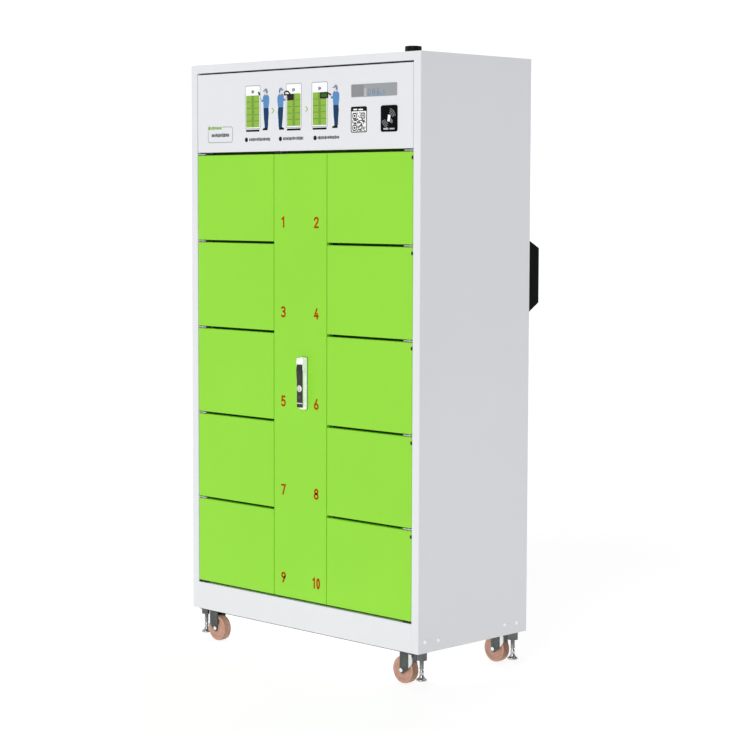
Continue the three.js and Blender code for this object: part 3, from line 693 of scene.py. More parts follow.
lo, hi = mm("service_door")
SD = (lo.copy(), hi.copy())
pan_object("service_door_pan", "service_door", GREEN, (lo.x, hi.x, lo.y, lo.y + 18, lo.z, hi.z),
           holes=[lambda bm: lathe(bm, [(0, -6), (7.8, -6), (7.8, 6), (0, 6)], "y", (511.5, 1, 807), 32),
                  lambda bm: lathe(bm, [(0, -4), (3, -4), (3, 4), (0, 4)], "z", (lo.x + 14, 7.5, lo.z), 20),
                  lambda bm: lathe(bm, [(0, -4), (3, -4), (3, 4), (0, 4)], "z", (lo.x + 14, 7.5, hi.z), 20)])
# stiffening channel on the back of the tall door
bm = bmesh.new()
for z0, z1 in ((lo.z + 60, 700), (850, hi.z - 60)):
    prism(bm, [(lo.x + 95, 2.3), (lo.x + 131, 2.3), (lo.x + 131, 3.5), (lo.x + 128, 3.5), (lo.x + 124, 14), (lo.x + 102, 14), (lo.x + 98, 3.5), (lo.x + 95, 3.5)], z0, z1, "xy")
finish_mesh("service_door_channel", bm, GREEN, "service_door", (), 0.6, 2)

# printed numbers
H2 = 0.094
DIG = {
    "1": [[(0.12, 0.78), (0.33, 0.925), (0.33, 0.075)]],
    "2": [[(0.08, 0.73), (0.10, 0.84), (0.19, 0.91), (0.31, 0.925), (0.43, 0.89), (0.50, 0.79), (0.49, 0.66), (0.42, 0.54), (0.09, 0.085), (0.53, 0.085)]],
    "3": [[(0.08, 0.83), (0.18, 0.91), (0.31, 0.925), (0.43, 0.88), (0.49, 0.77), (0.46, 0.64), (0.37, 0.56), (0.25, 0.535)],
          [(0.25, 0.535), (0.40, 0.50), (0.50, 0.41), (0.52, 0.28), (0.46, 0.15), (0.33, 0.08), (0.18, 0.085), (0.07, 0.17)]],
    "4": [[(0.37, 0.925), (0.08, 0.29), (0.54, 0.29)], [(0.41, 0.50), (0.41, 0.075)]],
    "5": [[(0.48, 0.915), (0.13, 0.915), (0.10, 0.53), (0.22, 0.59), (0.36, 0.58), (0.48, 0.48), (0.52, 0.33), (0.47, 0.16), (0.34, 0.08), (0.19, 0.085), (0.07, 0.17)]],
    "6": [[(0.38, 0.925), (0.12, 0.40)], "ring", (0.30, 0.295, 0.215, 0.215)],
    "7": [[(0.06, 0.915), (0.51, 0.915), (0.22, 0.075)]],
    "8": ["ring", (0.30, 0.72, 0.18, 0.195), "ring", (0.30, 0.295, 0.22, 0.215)],
    "9": ["ring", (0.30, 0.705, 0.215, 0.215), [(0.48, 0.60), (0.22, 0.075)]],
    "0": ["ring", (0.30, 0.50, 0.205, 0.42)],
}


def digits(text, cx, cz, h, name):
    bm = bmesh.new()
    nx = 1.0 if len(text) == 1 else 0.74   # the two-figure number is set narrower
    w = 0.60 * h * nx
    adv = 0.52 * h if len(text) > 1 else 0.62 * h
    x = cx - (adv * (len(text) - 1)) / 2 - w / 2
    yf = SD[0].y
    for ch in text:
        items = DIG[ch]
        k = 0
        while k < len(items):
            it = items[k]
            if it == "ring":
                ex, ez, rx, rz = items[k + 1]
                stroke(bm, circle(x + ex * h * nx, cz - h / 2 + ez * h, rx * h * nx, rz * h, 28), 2 * H2 * h, yf - 0.16, yf + 0.03, closed=True)
                k += 2
            else:
                stroke(bm, [(x + px * h * nx, cz - h / 2 + pz * h) for px, pz in it], 2 * H2 * h, yf - 0.14 - 0.01 * k, yf + 0.03)
                k += 1
        x += adv
    return finish_mesh(name, bm, ORANGE, "service_door", weighted=False)


for i in range(1, 11):
    row = (i - 1) // 2
    cz = mm(f"door_{i}")[0].z + 58
    digits(str(i), 419.5 if i % 2 else 561.5, cz, 33, f"number_{i}")

# ------------------------------------------------------------- hinge pieces
fine("latch_cam", ZINC, 0.35, 2)
for n in ("hinge_rail_left", "hinge_rail_right"):
    fine(n, [ZINC, RUBBER], 0.35, 2)
    for p in bpy.data.objects[n + "_fine"].data.polygons:   # the lowest tab is painted black
        if (p.center.z - ORG.z) * 1000 < 92 and (p.center.y - ORG.y) * 1000 < 26:
            p.material_index = 1
for s in ("left", "right"):
    fine(f"lock_strip_{s}", DARK, 0.6, 2)
    fine(f"charger_backplane_{s}", INNER, 0.8, 2)

# small dark catches at the right doors' hinge edge, as on the real doors
for i in range(2, 11, 2):
    lo, hi = mm(f"door_{i}")
    bm = bmesh.new()
    zc = hi.z - 17
    prism(bm, rrect(hi.x - 5.0, hi.x + 0.6, zc - 5, zc + 5, 1.6, 4), lo.y - 0.35, lo.y + 5)
    finish_mesh(f"door_{i}_edge_plug", bm, RUBBER, f"door_{i}", (), 0.3, 2)

# --------------------------------------------------------------- swing handle
HX = 511.5
lo, hi = mm("handle_base")
bm = bmesh.new()
prism(bm, rrect(lo.x, hi.x, lo.z, hi.z, 3.2, 5), hi.y, lo.y)
finish_mesh("handle_base_body", bm, SATIN_PAINTED_GLOW, "service_door", ("handle_base",), 0.8, 3)
bm = bmesh.new()   # rubber gasket under the base
prism(bm, rrect(lo.x - 0.9, hi.x + 0.9, lo.z - 0.9, hi.z + 0.9, 3.8, 5), 0.95, -0.35)
finish_mesh("handle_gasket", bm, RUBBER, "service_door", (), 0.2, 2)

lo, hi = mm("handle_spindle")
bm = bmesh.new()
# clevis: a head block and two rounded cheeks that hold the lever's upper end
head = fillet([(HX - 12.2, 802.6), (HX + 12.2, 802.6), (HX + 12.2, 819), (HX - 12.2, 819)], [1.0, 1.0, 2.6, 2.6], 4)
prism(bm, head, lo.y + 0.1, -8.8)
finish_mesh("handle_head", bm, SATIN_PAINTED_GLOW, "handle_spindle", ("handle_spindle",), 1.1, 4)
bm = bmesh.new()
for sx in (-1, 1):
    cheek = fillet([(-19.7, 818.6), (-19.7, 786), (-16.0, 772.4), (-10.4, 772.4), (-8.7, 779), (-8.7, 818.6)], [2.5, 9, 4.5, 4, 4, 0.8], 6)
    prism(bm, cheek, HX + sx * 12.15, HX + sx * 13.35, "yz")
finish_mesh("handle_cheeks", bm, SATIN_PAINTED_GLOW, "handle_spindle", ("handle_spindle",), 0.4, 3)
bm = bmesh.new()
for sx in (-1, 1):
    pr = [(0, -0.2), (4.2, -0.2), (4.2, 0.5), (3.2, 1.1), (0, 1.3)]
    pr = [(r_, sx * q) for r_, q in pr]
    lathe(bm, pr if sx > 0 else pr[::-1], "x", (HX + sx * 13.3, -14.9, 788), 24)
finish_mesh("handle_pin_heads", bm, SATIN_PAINTED_GLOW, "handle_spindle")
bm = bmesh.new()
lathe(bm, [(0, -13.5), (2.2, -13.5), (2.2, 13.5), (0, 13.5)], "x", (HX, -14.9, 788), 24)
lathe(bm, [(0, -9.4), (7, -9.4), (7, 24.6), (0, 24.6)], "y", (HX, 0, 807), 40)
lathe(bm, [(0, 24.4), (10, 24.4), (11, 25.2), (11, 29.2), (10, 30), (0, 30)], "y", (HX, 0, 807), 6)
finish_mesh("handle_spindle_body", bm, CHROME2, "handle_spindle", ("handle_spindle",), 0.4, 3)

# lever: bright deep-sided body with a black face plate that swells at the top
lo, hi = mm("handle_lever")
LB = 672.5
body = [(-8.3, LB + 0.4), (-8.3, 765), (-10.4, 769), (-10.4, 787), (-12.9, 791), (-12.9, 799), (-17.6, 799.2), (-17.6, LB + 0.4)]
bm = bmesh.new()
prism(bm, fillet(body, [1.6, 3, 3, 3, 2, 1.2, 0.4, 0.4], 4), HX - 10.8, HX + 10.8, "yz")
def lever_cuts(ob):
    cut(ob, [cutter(lambda b: lathe(b, [(0, -12), (8.25, -12), (8.25, 6.4), (0, 6.4)], "y", (HX, -15, 729), 40)),
             cutter(lambda b: lathe(b, [(0, -14), (2.4, -14), (2.4, 14), (0, 14)], "x", (HX, -14.9, 788), 24))])
finish_mesh("handle_lever_body", bm, SATIN_PAINTED_GLOW, "handle_lever", ("handle_lever",), 0.6, 3, post=lever_cuts)
face = [(-17.3, LB), (-17.3, 799.6), (-19.2, 800.6), (-21.6, 793), (-22.8, 781), (-21.8, 767), (-20.1, 750), (-20.0, LB)]
bm = bmesh.new()
prism(bm, fillet(face, [0.4, 0.5, 0.9, 4, 8, 10, 30, 1.4], 5), HX - 11.5, HX + 11.5, "yz")
def plate_cuts(ob):
    cut(ob, [cutter(lambda b: lathe(b, [(0, -12), (9.9, -12), (9.9, 12), (0, 12)], "y", (HX, -15, 729), 48)),
             cutter(lambda b: box(b, HX - 20, HX + 20, -30, -19.2, 683.4, 686.8))])
finish_mesh("handle_lever_face", bm, LEVERM, "handle_lever", (), 0.8, 3, post=plate_cuts)
bm = bmesh.new()   # bright bar across the tip, and the collar round the lock
box(bm, HX - 11.3, HX + 11.3, lo.y - 0.05, lo.y + 1.2, 683.6, 686.6)
finish_mesh("handle_lever_inlay", bm, CHROME2, "handle_lever", (), 0.3, 2)
bm = bmesh.new()
lathe(bm, [(8.2, lo.y - 1.2), (9.2, lo.y - 1.4), (10.0, lo.y - 1.0), (10.4, lo.y + 0.2), (10.4, lo.y + 0.4), (9.8, lo.y + 0.6), (9.8, lo.y + 2.7), (8.2, lo.y + 2.7)], "y", (HX, 0, 729), 56)
finish_mesh("handle_lock_collar", bm, CHROME, "handle_lever", smooth=40)
bm = bmesh.new()   # grip dimple marks below the lock
for z in (705, 700):
    prism(bm, rrect(HX - 2.6, HX + 2.6, z - 1.0, z + 1.0, 0.9, 4), lo.y - 0.08, lo.y + 0.4)
finish_mesh("handle_lever_marks", bm, INK_GREY, "handle_lever")
# key cylinder with keyway
lo, hi = mm("key_cylinder")
bm = bmesh.new()
lathe(bm, [(0, lo.y + 0.9), (4.6, lo.y + 0.9), (4.9, lo.y + 0.5), (5.3, lo.y + 0.1), (6.9, lo.y), (7.7, lo.y + 0.6), (8, lo.y + 1.4), (8, hi.y - 0.4), (7.6, hi.y), (0, hi.y)], "y", (HX, 0, 729), 56)
finish_mesh("key_cylinder_body", bm, CHROME2, "key_cylinder", ("key_cylinder",), smooth=30,
            post=lambda ob: cut(ob, [cutter(lambda b: box(b, HX - 0.8, HX + 0.8, lo.y - 2, lo.y + 5, 725.2, 732.8))]))

# ------------------------------------------------------------------- header
lo, hi = mm("header_panel")
HD = (lo.copy(), hi.copy())
pan_object("header_panel_pan", "header_panel", WHITE, (lo.x, hi.x, lo.y, lo.y + 18, lo.z, hi.z), lip=14,
           holes=[lambda bm: prism(bm, rrect(704.7, 888.3, 1579.7, 1616.3, 3, 4), -3, 6), lambda bm: prism(bm, rrect(824.7, 890.3, 1478.7, 1553.3, 6.2, 5), -3, 6)])
YH = HD[0].y


def deck(name, items, mat, lift=0.12):
    """A printed layer on the header: a list of functions that add shapes between two stations."""
    bm = bmesh.new()
    for it in items:
        it(bm, YH - lift, YH - lift + 0.10 if lift > 0.2 else YH + 0.03)
    return finish_mesh(name, bm, mat, "header_panel", weighted=False)


def poly(pts):
    return lambda bm, a, b: prism(bm, pts, a, b)


def rect(x0, x1, z0, z1, r=0.0):
    return (lambda bm, a, b: prism(bm, rrect(x0, x1, z0, z1, r, 4), a, b)) if r else (lambda bm, a, b: box(bm, x0, x1, a, b, z0, z1))


def dot(cx, cz, r, rz=None):
    return lambda bm, a, b: prism(bm, circle(cx, cz, r, rz, 28), a, b)


def outline(x0, x1, z0, z1, r, w):
    return lambda bm, a, b: ring_prism(bm, rrect(x0, x1, z0, z1, r, 5), rrect(x0 + w, x1 - w, z0 + w, z1 - w, max(0.3, r - w), 5), a, b)


def line(pts, w):
    return lambda bm, a, b: stroke(bm, pts, w, a, b)


# label box with a generic bar
deck("label_outline", [outline(78, 193, 1460, 1509, 8, 2.2)], INK_SAGE)
deck("label_mask", [rect(76, 146, 1497, 1512)], WHITE, 0.22)
def dashes(x0, x1, z0, z1, seed, wmin=2.2, wmax=5.0, gap=1.3):
    rnd = random.Random(seed)
    x, out = x0, []
    while x < x1 - 1:
        w = min(rnd.uniform(wmin, wmax), x1 - x)
        zz = rnd.uniform(0, 0.18) * (z1 - z0)
        out.append(rect(x, x + w, z0 + zz, z1 - rnd.uniform(0, 0.18) * (z1 - z0)))
        x += w + gap
    return out
deck("label_badge", [dot(85, 1505, 6.0)] + dashes(93.5, 143, 1499.5, 1510, 3, 4.5, 7.0, 1.4), INK_LEAF, 0.34)
deck("label_bar", dashes(95, 177, 1477, 1488.5, 5, 3.4, 6.8, 1.3), INK_DGREY)

# pictograms: a locker, a person, an item
lockers = [(250, 318), (431, 498), (541, 608)]
deck("locker_backs", [rect(a + 1, b - 1, 1500, 1628, 3) for a, b in lockers], INK_WHITE_PAINTED_GLOW)
deck("locker_outlines", [outline(a, b, 1499, 1629, 4, 1.9) for a, b in lockers], INK_EDGE, 0.24)
deck("locker_fronts", [rect(a + 4.5, b - 4.5, 1504, 1599, 0.8) for a, b in lockers], INK_GREEN, 0.24)
seams = []
for a, b in lockers:
    c = (a + b) / 2
    seams.append(rect(c - 5, c + 5, 1504.4, 1598.6))
deck("locker_columns", seams, INK_DGREEN, 0.36)
seams = []
for a, b in lockers:
    c = (a + b) / 2
    for k in range(1, 5):
        z = 1504 + 19 * k
        seams += [rect(a + 5, c - 5.4, z - 0.7, z + 0.7), rect(c + 5.4, b - 5, z - 0.7, z + 0.7)]
    for k in range(5):
        z = 1511 + 19 * k
        seams += [dot(c - 2.6, z, 1.2), dot(c + 2.6, z, 1.2)]
deck("locker_seams", seams, INK_DEEP, 0.48)
deck("locker_marks", [rect(c - 5.5, c - 0.6, 1605, 1615, 1) for c in (285, 464, 575)] + [rect(c + 0.6, c + 5.0, 1607, 1614, 1) for c in (285, 464, 575)], INK_DGREY, 0.24)
deck("locker_feet", [rect(a + 4, b - 4, 1490.8, 1496.6, 1.6) for a, b in lockers], INK_BLACK)


def person(tag, cx, face, layer=0.24):
    """A plain pictogram of a standing person, seen from the side. face is -1 to the left, +1 to the right."""
    X = lambda d: cx + face * d
    P = lambda pts: poly(fillet([(X(d), z) for d, z in pts], 2.0, 3))
    deck(tag + "_shoes", [P([(-7, 1494), (15, 1494), (15.5, 1498), (6, 1502), (-7, 1502)])], INK_BLACK, layer)
    deck(tag + "_trousers", [P([(-8.5, 1501), (5.5, 1501), (9.5, 1530), (11.5, 1562), (-10.5, 1562), (-12, 1545), (-9.5, 1522)])], INK_NAVY, layer + 0.04)
    deck(tag + "_shirt", [P([(-11, 1560.5), (11, 1560.5), (12.5, 1578), (14, 1592), (9, 1600), (-7, 1600), (-14, 1592), (-14, 1578)])], INK_SHIRT, layer + 0.08)
    deck(tag + "_sleeve", [line([(X(6), 1593), (X(10), 1583), (X(18), 1582)], 6.5)], INK_SHIRT, layer + 0.20)
    deck(tag + "_arm", [line([(X(16), 1583), (X(24), 1589)], 3.8), dot(X(25.5), 1590, 2.6), rect(min(X(-2.4), X(2.4)), max(X(-2.4), X(2.4)), 1598, 1604)], INK_SKIN, layer + 0.14)
    deck(tag + "_head", [dot(X(2.5), 1608, 7.0, 7.6)], INK_SKIN, layer + 0.16)
    deck(tag + "_hair", [P([(-6.5, 1604), (-2.2, 1602), (-1.4, 1612), (-6.8, 1612.5)])], INK_HAIR, layer + 0.26)
    cap = [(X(-6.8), 1611)] + [(X(0.8 + 7.8 * math.cos(math.pi - t * math.pi / 8)), 1611 + 7.4 * math.sin(math.pi - t * math.pi / 8)) for t in range(1, 8)] + [(X(14), 1611.2), (X(14), 1609.8), (X(-6.8), 1609.6)]
    deck(tag + "_cap", [poly(cap)], INK_CAP, layer + 0.30)


person("person_a", 343.5, -1)
person("person_b", 407.5, 1)
person("person_c", 642.5, -1)
deck("phone_mark", [poly([(307.5, 1608), (313.5, 1610), (318.5, 1600), (312.5, 1598)])], INK_BLACK, 0.62)
def pack_mark(x0, x1, z0, z1, hx0, hx1, hz1):
    return [rect(x0, x1, z0, z1, 1.5), lambda bm, a, b: stroke(bm, [(hx0, z1 - 2), (hx0, hz1 - 4), (hx0 + 4, hz1), (hx1 - 4, hz1), (hx1, hz1 - 4), (hx1, z1 - 2)], 3.6, a, b)]
deck("pack_mark_b", [rect(436, 465, 1580, 1598, 2)] + [lambda bm, a, b: stroke(bm, [(424, 1596.5), (425, 1604), (432, 1607), (441, 1605.5), (449, 1598)], 4.4, a, b), rect(423, 452, 1594.5, 1598.4, 1)], INK_BATT, 0.62)
deck("pack_mark_c", [outline(576, 611, 1581, 1599, 3, 4.2), line([(608, 1596), (621, 1591)], 4.0)], INK_BATT, 0.62)
deck("pack_glow_c", [rect(579, 608, 1583.5, 1596.5, 1.5)], INK_PACK, 0.50)
def chevron(cx):
    return line([(cx - 3.5, 1559), (cx + 4.5, 1551.5), (cx - 3.5, 1544)], 3.0)
deck("arrows", [chevron(373), chevron(519.5)], INK_LEAF)
deck("caption_dots", [dot(x, 1467, 6.9) for x in (255.5, 406.5, 555.5)], INK_BLACK)
deck("caption_bars", dashes(268, 362, 1462.2, 1472.4, 11, 3.6, 6.8, 1.3) + dashes(418, 505, 1462.2, 1472.4, 12, 3.6, 6.8, 1.3) + dashes(566, 656, 1462.2, 1472.4, 13, 3.6, 6.8, 1.3), INK_DGREY)

# sticker with a made-up block pattern
deck("sticker_back", [rect(704, 769, 1479, 1553, 5.5)], INK_WHITE_PAINTED_GLOW)
deck("sticker_edge", [outline(704, 769, 1479, 1553, 5.5, 3.0)], INK_BLACK, 0.24)
band = [(704.4, 1539), (768.6, 1539)] + [p for p in rrect(704.4, 768.6, 1500, 1552.6, 5.2, 5)[0:12]]
deck("sticker_band", [poly([(704.4, 1539.5), (768.6, 1539.5)] + rrect(704.4, 768.6, 1500, 1552.6, 5.2, 5)[:12])], INK_BLACK, 0.30)
deck("sticker_bars", [rect(714, 730, 1542.6, 1546.6, 0.8), rect(735, 753, 1542.2, 1546.2, 0.8)], INK_WHITE_PAINTED_GLOW, 0.44)
rnd = random.Random(20)
cells, N, c0x, c0z, cs = [], 17, 710.0, 1483.5, 3.1
taken = set()
for (ci, cj) in ((0, 0), (0, 11), (11, 11)):
    for a in range(6):
        for b in range(6):
            taken.add((ci + a, cj + b))
    x0, z0 = c0x + ci * cs, c0z + cj * cs
    cells.append(outline(x0 + 0.4, x0 + 6 * cs - 0.8, z0 + 0.4, z0 + 6 * cs - 0.8, 4.6, 3.2))
    cells.append(dot(x0 + 3 * cs - 0.2, z0 + 3 * cs - 0.2, 3.3))
for j in range(N):
    i = 0
    while i < N:
        if (i, j) in taken or rnd.random() < 0.52:
            i += 1
            continue
        k = i
        while k < N and (k, j) not in taken and rnd.random() < 0.6 and k - i < 3:
            k += 1
        k = max(k, i + 1)
        cells.append(rect(c0x + i * cs + 0.2, c0x + k * cs - 0.2, c0z + j * cs + 0.2, c0z + (j + 1) * cs - 0.2))
        i = k
deck("sticker_blocks", cells, INK_BLACK, 0.24)

# display window
lo, hi = mm("display_window")
DISP = Mat("display_grey_glass", srgb(160, 163, 166), rough=0.10, var=0.05, var_scale=9, rough_var=0.03, rough_scale=15, coat=0.4).m
# Darker and lighter layers for the glass: painted reflection.
DISP2 = Mat("display_painted_reflection_dark", srgb(140, 143, 146), rough=0.12, var=0.06, var_scale=14, rough_var=0.03, rough_scale=15, coat=0.3).m
DISP3 = Mat("display_painted_reflection_light", srgb(190, 192, 195), rough=0.12, var=0.05, var_scale=20, rough_var=0.03, rough_scale=15, coat=0.3).m
LCD = Mat("display_digits", srgb(104, 120, 132), rough=0.2, var=0.06, var_scale=40, emit=((0.10, 0.22, 0.32, 1), 0.25)).m
LCDB = Mat("display_glow", srgb(128, 146, 162), rough=0.2, var=0.08, var_scale=30, emit=((0.10, 0.20, 0.34, 1), 0.35)).m
bm = bmesh.new()
prism(bm, rrect(705, 888, 1580, 1616, 2.8, 5), lo.y, hi.y)
finish_mesh("display_window_glass", bm, DISP, "header_panel", ("display_window",), 0.35, 2)
def film(name, items, mat, lift):
    bm = bmesh.new()
    for it in items:
        it(bm, lo.y - lift, lo.y + 0.02)
    finish_mesh(name, bm, mat, "header_panel", weighted=False)
# a darker patch on the left and a light streak on the glass: painted reflection
film("display_painted_reflection_left", [rect(707, 755, 1582, 1614, 1.5)], DISP2, 0.05)
film("display_painted_reflection_streak", [rect(757.5, 766, 1581.2, 1604, 1.5)], DISP3, 0.05)
film("display_glow_bar", [rect(770, 842, 1582.5, 1589.5, 1.2)], LCDB, 0.05)
segs = []
SEG = {"0": "abcdef", "1": "bc", "8": "abcdefg", "6": "acdefg", "2": "abged"}
for k, ch in enumerate("0861"):
    x0, z0, w, h, s = 772 + k * 18, 1584, 11, 18, 2.6
    for seg in SEG[ch]:
        q = 0.12   # the bars do not touch
        segs.append({"a": rect(x0 + s + q, x0 + w - s - q, z0 + h - s + q, z0 + h), "b": rect(x0 + w - s + q, x0 + w, z0 + h / 2 + .4, z0 + h - s - q), "c": rect(x0 + w - s + q, x0 + w, z0 + s + q, z0 + h / 2 - .4),
                     "d": rect(x0 + s + q, x0 + w - s - q, z0, z0 + s - q), "e": rect(x0, x0 + s - q, z0 + s + q, z0 + h / 2 - .4), "f": rect(x0, x0 + s - q, z0 + h / 2 + .4, z0 + h - s - q), "g": rect(x0 + s + q, x0 + w - s - q, z0 + h / 2 - s / 2, z0 + h / 2 + s / 2)}[seg])
film("display_digits_row", segs, LCD, 0.09)

# card reader
lo, hi = mm("card_reader")
bm = bmesh.new()
prism(bm, rrect(lo.x, hi.x, lo.z, hi.z, 6, 6), hi.y, lo.y)
finish_mesh("card_reader_body", bm, GLOSSB, "header_panel", ("card_reader",), 0.9, 4)
def reader(name, items, mat, lift=0.10):
    bm = bmesh.new()
    for it in items:
        it(bm, lo.y - lift, lo.y + 0.03)
    finish_mesh(name, bm, mat, "header_panel", weighted=False)
def arc(cx, cz, r, a0, a1, w, n=10):
    return line([(cx + r * math.cos(math.radians(a0 + (a1 - a0) * i / n)), cz + r * math.sin(math.radians(a0 + (a1 - a0) * i / n))) for i in range(n + 1)], w)
INK_WAVE = ink("wave_grey", (134, 137, 140))
reader("reader_waves", [arc(857, 1517, r, 14, 76, 2.5) for r in (15.5, 21, 26.5)] + [arc(857, 1517, r, 196, 256, 2.5) for r in (15.5, 21, 26.5)], INK_WAVE)
card = [(851.5, 1508.5), (861, 1506.5), (865, 1525), (855.5, 1527)]
reader("reader_card", [poly(fillet(card, 1.4, 3))], INK_WHITE_PAINTED_GLOW, 0.14)
reader("reader_hand", [poly(fillet([(862, 1505), (871, 1501.5), (873.5, 1509), (866, 1517), (863.5, 1510)], 1.6, 3))], INK_GREY, 0.12)
reader("reader_bars", [rect(836.5, 856, 1484.6, 1489.4, 0.8), rect(861, 880, 1485, 1489, 0.8)], INK_LGREY)

# ------------------------------------------------------ electronics and fan
fine("control_box", BLACK, 2.0, 3)
fine("power_supply", ZINC, 1.2, 3)
lo, hi = mm("control_box")
bm = bmesh.new()
for k in range(6):
    x = lo.x + 22 + k * 38
    box(bm, x, x + 26, lo.y - 0.1 - 0.0, lo.y + 6, lo.z + 18, lo.z + 30)
    lathe(bm, [(0, -1.2), (2.6, -1.2), (2.6, 4), (0, 4)], "y", (x + 13, lo.y, lo.z + 48), 16)
finish_mesh("control_box_ports", bm, RUBBER, "cabinet", (), 0.4, 2)
lo, hi = mm("power_supply")
bm = bmesh.new()
for k in range(14):
    x = lo.x + 16 + k * 14
    prism(bm, rrect(x, x + 5, lo.y + 20, hi.y - 20, 2.4, 4), hi.z - 0.6, hi.z + 0.05, "xy")
finish_mesh("power_supply_slots", bm, RUBBER, "cabinet")

# antenna puck
lo, hi = mm("antenna")
ax, ay = (lo.x + hi.x) / 2, (lo.y + hi.y) / 2
bm = bmesh.new()
z0 = BODY_H + 0.3
lathe(bm, [(0, lo.z), (4.6, lo.z), (5, lo.z + 0.6), (5, z0), (23.4, z0), (24, z0 + 0.8), (24, z0 + 21.0), (23.8, z0 + 21.8), (23.2, z0 + 22.4), (22.4, z0 + 22.7), (19.0, z0 + 22.9), (18.2, z0 + 23.3), (0, z0 + 23.3)], "z", (ax, ay, 0), 72)
finish_mesh("antenna_body", bm, BLACK, "cabinet", ("antenna",), smooth=34)
bm = bmesh.new()
lathe(bm, [(5.6, BODY_H - 5.2), (9, BODY_H - 5.2), (9, BODY_H - 1.3), (5.6, BODY_H - 1.3)], "z", (ax, ay, 0), 6)
finish_mesh("antenna_nut", bm, ZINC, "cabinet", (), 0.4, 2)

fine("fan_frame", BLACK, 1.2, 3)
lo, hi = mm("fan_rotor")
fx, fz = 858, 1061
bm = bmesh.new()
lathe(bm, [(0, lo.y), (19, lo.y), (21, lo.y + 1.5), (21, hi.y - 2.5), (19, hi.y), (0, hi.y)], "y", (fx, 0, fz), 48)
for k in range(7):
    a = 2 * math.pi * k / 7
    rows = []
    for s in range(7):
        r = 20 + 32 * s / 6
        tw = math.radians(46 - 20 * s / 6)
        chord = 17 + 9 * s / 6
        sweep = a + 0.10 * s
        lead = []
        for q in (-0.5, -0.25, 0, 0.25, 0.5):
            along, depth = chord * q * math.cos(tw), chord * q * math.sin(tw) * 0.62
            camber = 1.6 * (1 - (2 * q) ** 2)
            aa = sweep + along / r
            lead.append((fx + r * math.cos(aa), (lo.y + hi.y) / 2 + depth + camber, fz + r * math.sin(aa)))
        rows.append(lead)
    for side in (0, 1):
        pass
    top = [[bm.verts.new((x, y - 0.6, z)) for x, y, z in row] for row in rows]
    bot = [[bm.verts.new((x, y + 0.6, z)) for x, y, z in row] for row in rows]
    m_, n_ = len(rows), 5
    for i in range(m_ - 1):
        for j in range(n_ - 1):
            bm.faces.new((top[i][j], top[i + 1][j], top[i + 1][j + 1], top[i][j + 1]))
            bm.faces.new((bot[i][j + 1], bot[i + 1][j + 1], bot[i + 1][j], bot[i][j]))
    for i in range(m_ - 1):
        bm.faces.new((top[i + 1][0], top[i][0], bot[i][0], bot[i + 1][0]))
        bm.faces.new((top[i][-1], top[i + 1][-1], bot[i + 1][-1], bot[i][-1]))
    for j in range(n_ - 1):
        bm.faces.new((top[0][j], top[0][j + 1], bot[0][j + 1], bot[0][j]))
        bm.faces.new((top[-1][j + 1], top[-1][j], bot[-1][j], bot[-1][j + 1]))
finish_mesh("fan_rotor_blades", bm, BLACK, "fan_rotor", ("fan_rotor",), smooth=40)

# vent hood
fine("vent_hood", HOODM, 1.1, 3)

# cable gland in the rear panel: hex body and rounded cap nut
gx, gz = 120, 60
bm = bmesh.new()
lathe(bm, [(9.0, 474.6), (15.0, 474.6), (15.6, 475.4), (15.6, 479.4), (15.0, 480.2), (9.0, 480.2)], "y", (gx, 0, gz), 6)
finish_mesh("gland_body", bm, BLACK, "cabinet", (), 0.4, 2)
bm = bmesh.new()
lathe(bm, [(4.6, 479.0), (13.6, 479.0), (13.6, 486.6), (12.2, 489.6), (9.0, 491.2), (6.4, 491.4), (4.6, 490.4)], "y", (gx, 0, gz), 40)
finish_mesh("gland_cap", bm, BLACK, "cabinet", smooth=40)

